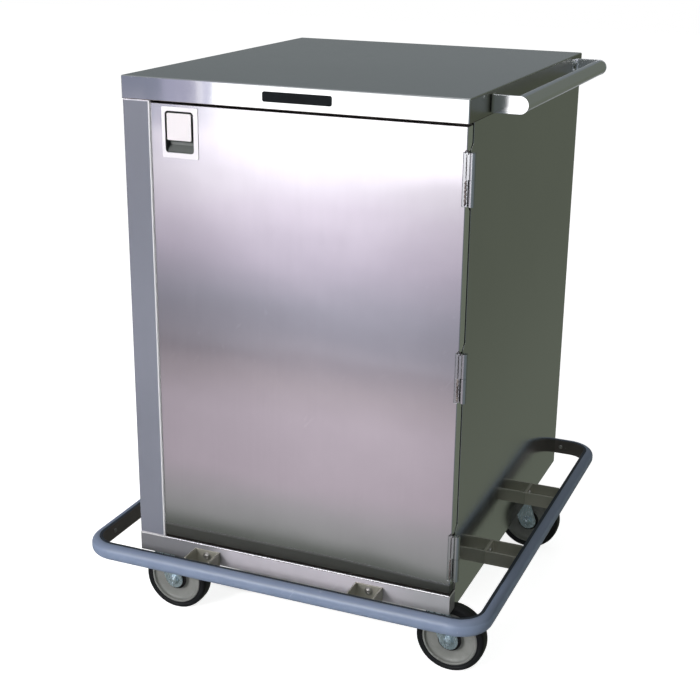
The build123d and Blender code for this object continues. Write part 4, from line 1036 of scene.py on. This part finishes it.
def front_wall_glow(x, y, z):
    """The lit wall behind the camera, dim on its right, with two strips on its left, brighter low down."""
    lit = stops(z, [(0.0, 1.7, 1.62, 1.74), (0.15, 2.0, 1.92, 2.02), (0.3, 2.4, 2.4, 2.4),
                    (0.55, 2.35, 2.35, 2.35), (1.0, 1.3, 1.32, 1.35), (2.0, 1.05, 1.07, 1.1),
                    (4.0, 0.95, 0.97, 1.0)])
    strips = stops(x, [(-2.61, 0.34, 0.36, 0.48), (-2.58, 0.60, 0.59, 0.78), (-2.395, 0.60, 0.58, 0.78),
                       (-2.385, 1.4, 1.35, 1.5), (-2.355, 1.4, 1.35, 1.5), (-2.345, 0.9, 0.88, 1.15),
                       (-2.305, 0.95, 0.92, 1.2)])
    low = stops(x, [(-3.1, 0.5, 0.48, 0.56), (-2.75, 1.25, 1.16, 1.28), (-2.3, 1.75, 1.66, 1.76)])
    lowness = np.interp(z, (0.0, 0.12), (0.35, 1.0)) * (1.0 - np.interp(z, (0.16, 0.22), (0.0, 1.0)))
    left = share_of(lowness, low, strips)
    right = share_of(fade(x, -0.44, 0.08), lit, np.array((0.27, 0.31, 0.35)))
    return np.where((x > -2.30)[:, None], right, left)


def horizon_glow(x, y, z):
    """The far side of the room: a bright band at the horizon that falls off upwards."""
    return stops(z, [(0.0, 0.9, 0.94, 0.96), (0.95, 0.9, 0.94, 0.96), (1.15, 0.33, 0.35, 0.36),
                     (1.87, 0.21, 0.23, 0.235), (2.3, 0.18, 0.20, 0.205), (3.0, 0.165, 0.185, 0.195),
                     (8.0, 0.165, 0.185, 0.195)])


def even_glow(*colour):
    """A glow of one colour all over."""
    return lambda x, y, z: np.tile(colour, (x.size, 1))


# The room in metres: walls to the left, right, front and back, how high it is, and how high the lit wall is

LEFT = -8.0
RIGHT = 6.3
FRONT = -4.4
BACK = 8.5
CEILING = 8.0
LIT_WALL = 4.0
# The middle cards lie under the cart and behind it, between its sides and from its front to its back
CART_LEFT = -0.4
CART_RIGHT = 0.33
CART_FRONT = -0.4
CART_BACK = 0.5
CARD_LIFT = 0.003

card("front floor card", (-5, FRONT, 0.002), (11.3, 0, 0), (0, 4.0, 0), front_floor_glow, 161)
card("front wall card left", (LEFT, FRONT, 0), (5.3, 0, 0), (0, 0, LIT_WALL), front_wall_glow, 21)
card("front wall card strips", (-2.7, FRONT, 0), (0.5, 0, 0), (0, 0, LIT_WALL), front_wall_glow, 101)
card("front wall card", (-2.2, FRONT, 0), (8.5, 0, 0), (0, 0, LIT_WALL), front_wall_glow, 121)
# The under card is painted shade: the shade under the cart, seen only in reflections
card("under card", (CART_LEFT, CART_FRONT, CARD_LIFT), (0.73, 0, 0), (0, 0.9, 0), even_glow(0.12, 0.13, 0.12))
card("behind card", (CART_LEFT, CART_BACK, CARD_LIFT), (0.73, 0, 0), (0, 8, 0), even_glow(0.3, 0.31, 0.32))
card("right floor card", (CART_RIGHT, CART_FRONT, CARD_LIFT), (6, 0, 0), (0, 9, 0),
     even_glow(0.13, 0.145, 0.115))
card("right wall card", (RIGHT, FRONT, 0), (0, 13, 0), (0, 0, CEILING), even_glow(0.15, 0.165, 0.14))
card("back right card", (-0.2, BACK, 0), (7, 0, 0), (0, 0, CEILING), even_glow(0.14, 0.155, 0.13))
card("back left card", (LEFT, BACK, 0), (7.8, 0, 0), (0, 0, CEILING), horizon_glow, 81)
card("left floor card", (LEFT, CART_FRONT, CARD_LIFT), (7.6, 0, 0), (0, 9, 0), even_glow(0.3, 0.31, 0.32))
card("left wall card", (LEFT, FRONT, 0), (0, 13, 0), (0, 0, CEILING), even_glow(0.34, 0.36, 0.38))
card("ceiling card", (LEFT, FRONT, CEILING), (14.4, 0, 0), (0, 13, 0), even_glow(0.4, 0.42, 0.44))
card("front high card", (LEFT, FRONT, LIT_WALL), (14.4, 0, 0), (0, 0, CEILING - LIT_WALL),
     even_glow(0.5, 0.52, 0.55))


def lamp(name, place, aim, size, power, colour=(1.0, 1.0, 1.0)):
    """A square soft lamp that points from its place to the aim."""
    light = bpy.data.lights.new(name, "AREA")
    light.shape = "SQUARE"
    light.size = size
    light.energy = power
    light.color = colour
    lantern = placed(name, light)
    back = np.array(place, float) - np.array(aim, float)
    back /= np.linalg.norm(back)
    across = np.cross((0.0, 0.0, 1.0), back)
    across /= np.linalg.norm(across)
    stand(lantern, across, np.cross(back, across), back, place)


lamp("key lamp", place=(-2.0, -5.2, 2.3), aim=(0.0, 0.0, 0.4), size=2.0, power=262.0)
lamp("top lamp", place=(0.4, 0.3, 3.2), aim=(0.0, 0.0, 0.3), size=1.8, power=9.0)
lamp("fill lamp", place=(2.6, -1.6, 1.6), aim=(0.0, 0.0, 0.4), size=1.4, power=3.0, colour=(0.75, 1.0, 0.65))

# Camera: its place, direction and lens were worked out from the photograph's vanishing lines

CAMERA_PLACE = (0.9084, -2.2755, 1.2820)
AZIMUTH = math.radians(22.4026)
ELEVATION = math.radians(18.8315)
ROLL = math.radians(0.7218)
FOCAL_LENGTH = 67.753
FILM_WIDTH = 36.0
back = np.array([math.sin(AZIMUTH) * math.cos(ELEVATION), -math.cos(AZIMUTH) * math.cos(ELEVATION),
                 math.sin(ELEVATION)])
across = np.cross(-back, (0.0, 0.0, 1.0))
across /= np.linalg.norm(across)
above = np.cross(across, -back)
rolled_across = across * math.cos(ROLL) + above * math.sin(ROLL)
rolled_above = above * math.cos(ROLL) - across * math.sin(ROLL)
lens = bpy.data.cameras.new("camera")
lens.sensor_width = FILM_WIDTH
lens.lens = FOCAL_LENGTH
camera = placed("camera", lens)
stand(camera, rolled_across, rolled_above, back, CAMERA_PLACE)
bpy.context.scene.camera = camera
bpy.context.scene.view_settings.view_transform = "Standard"
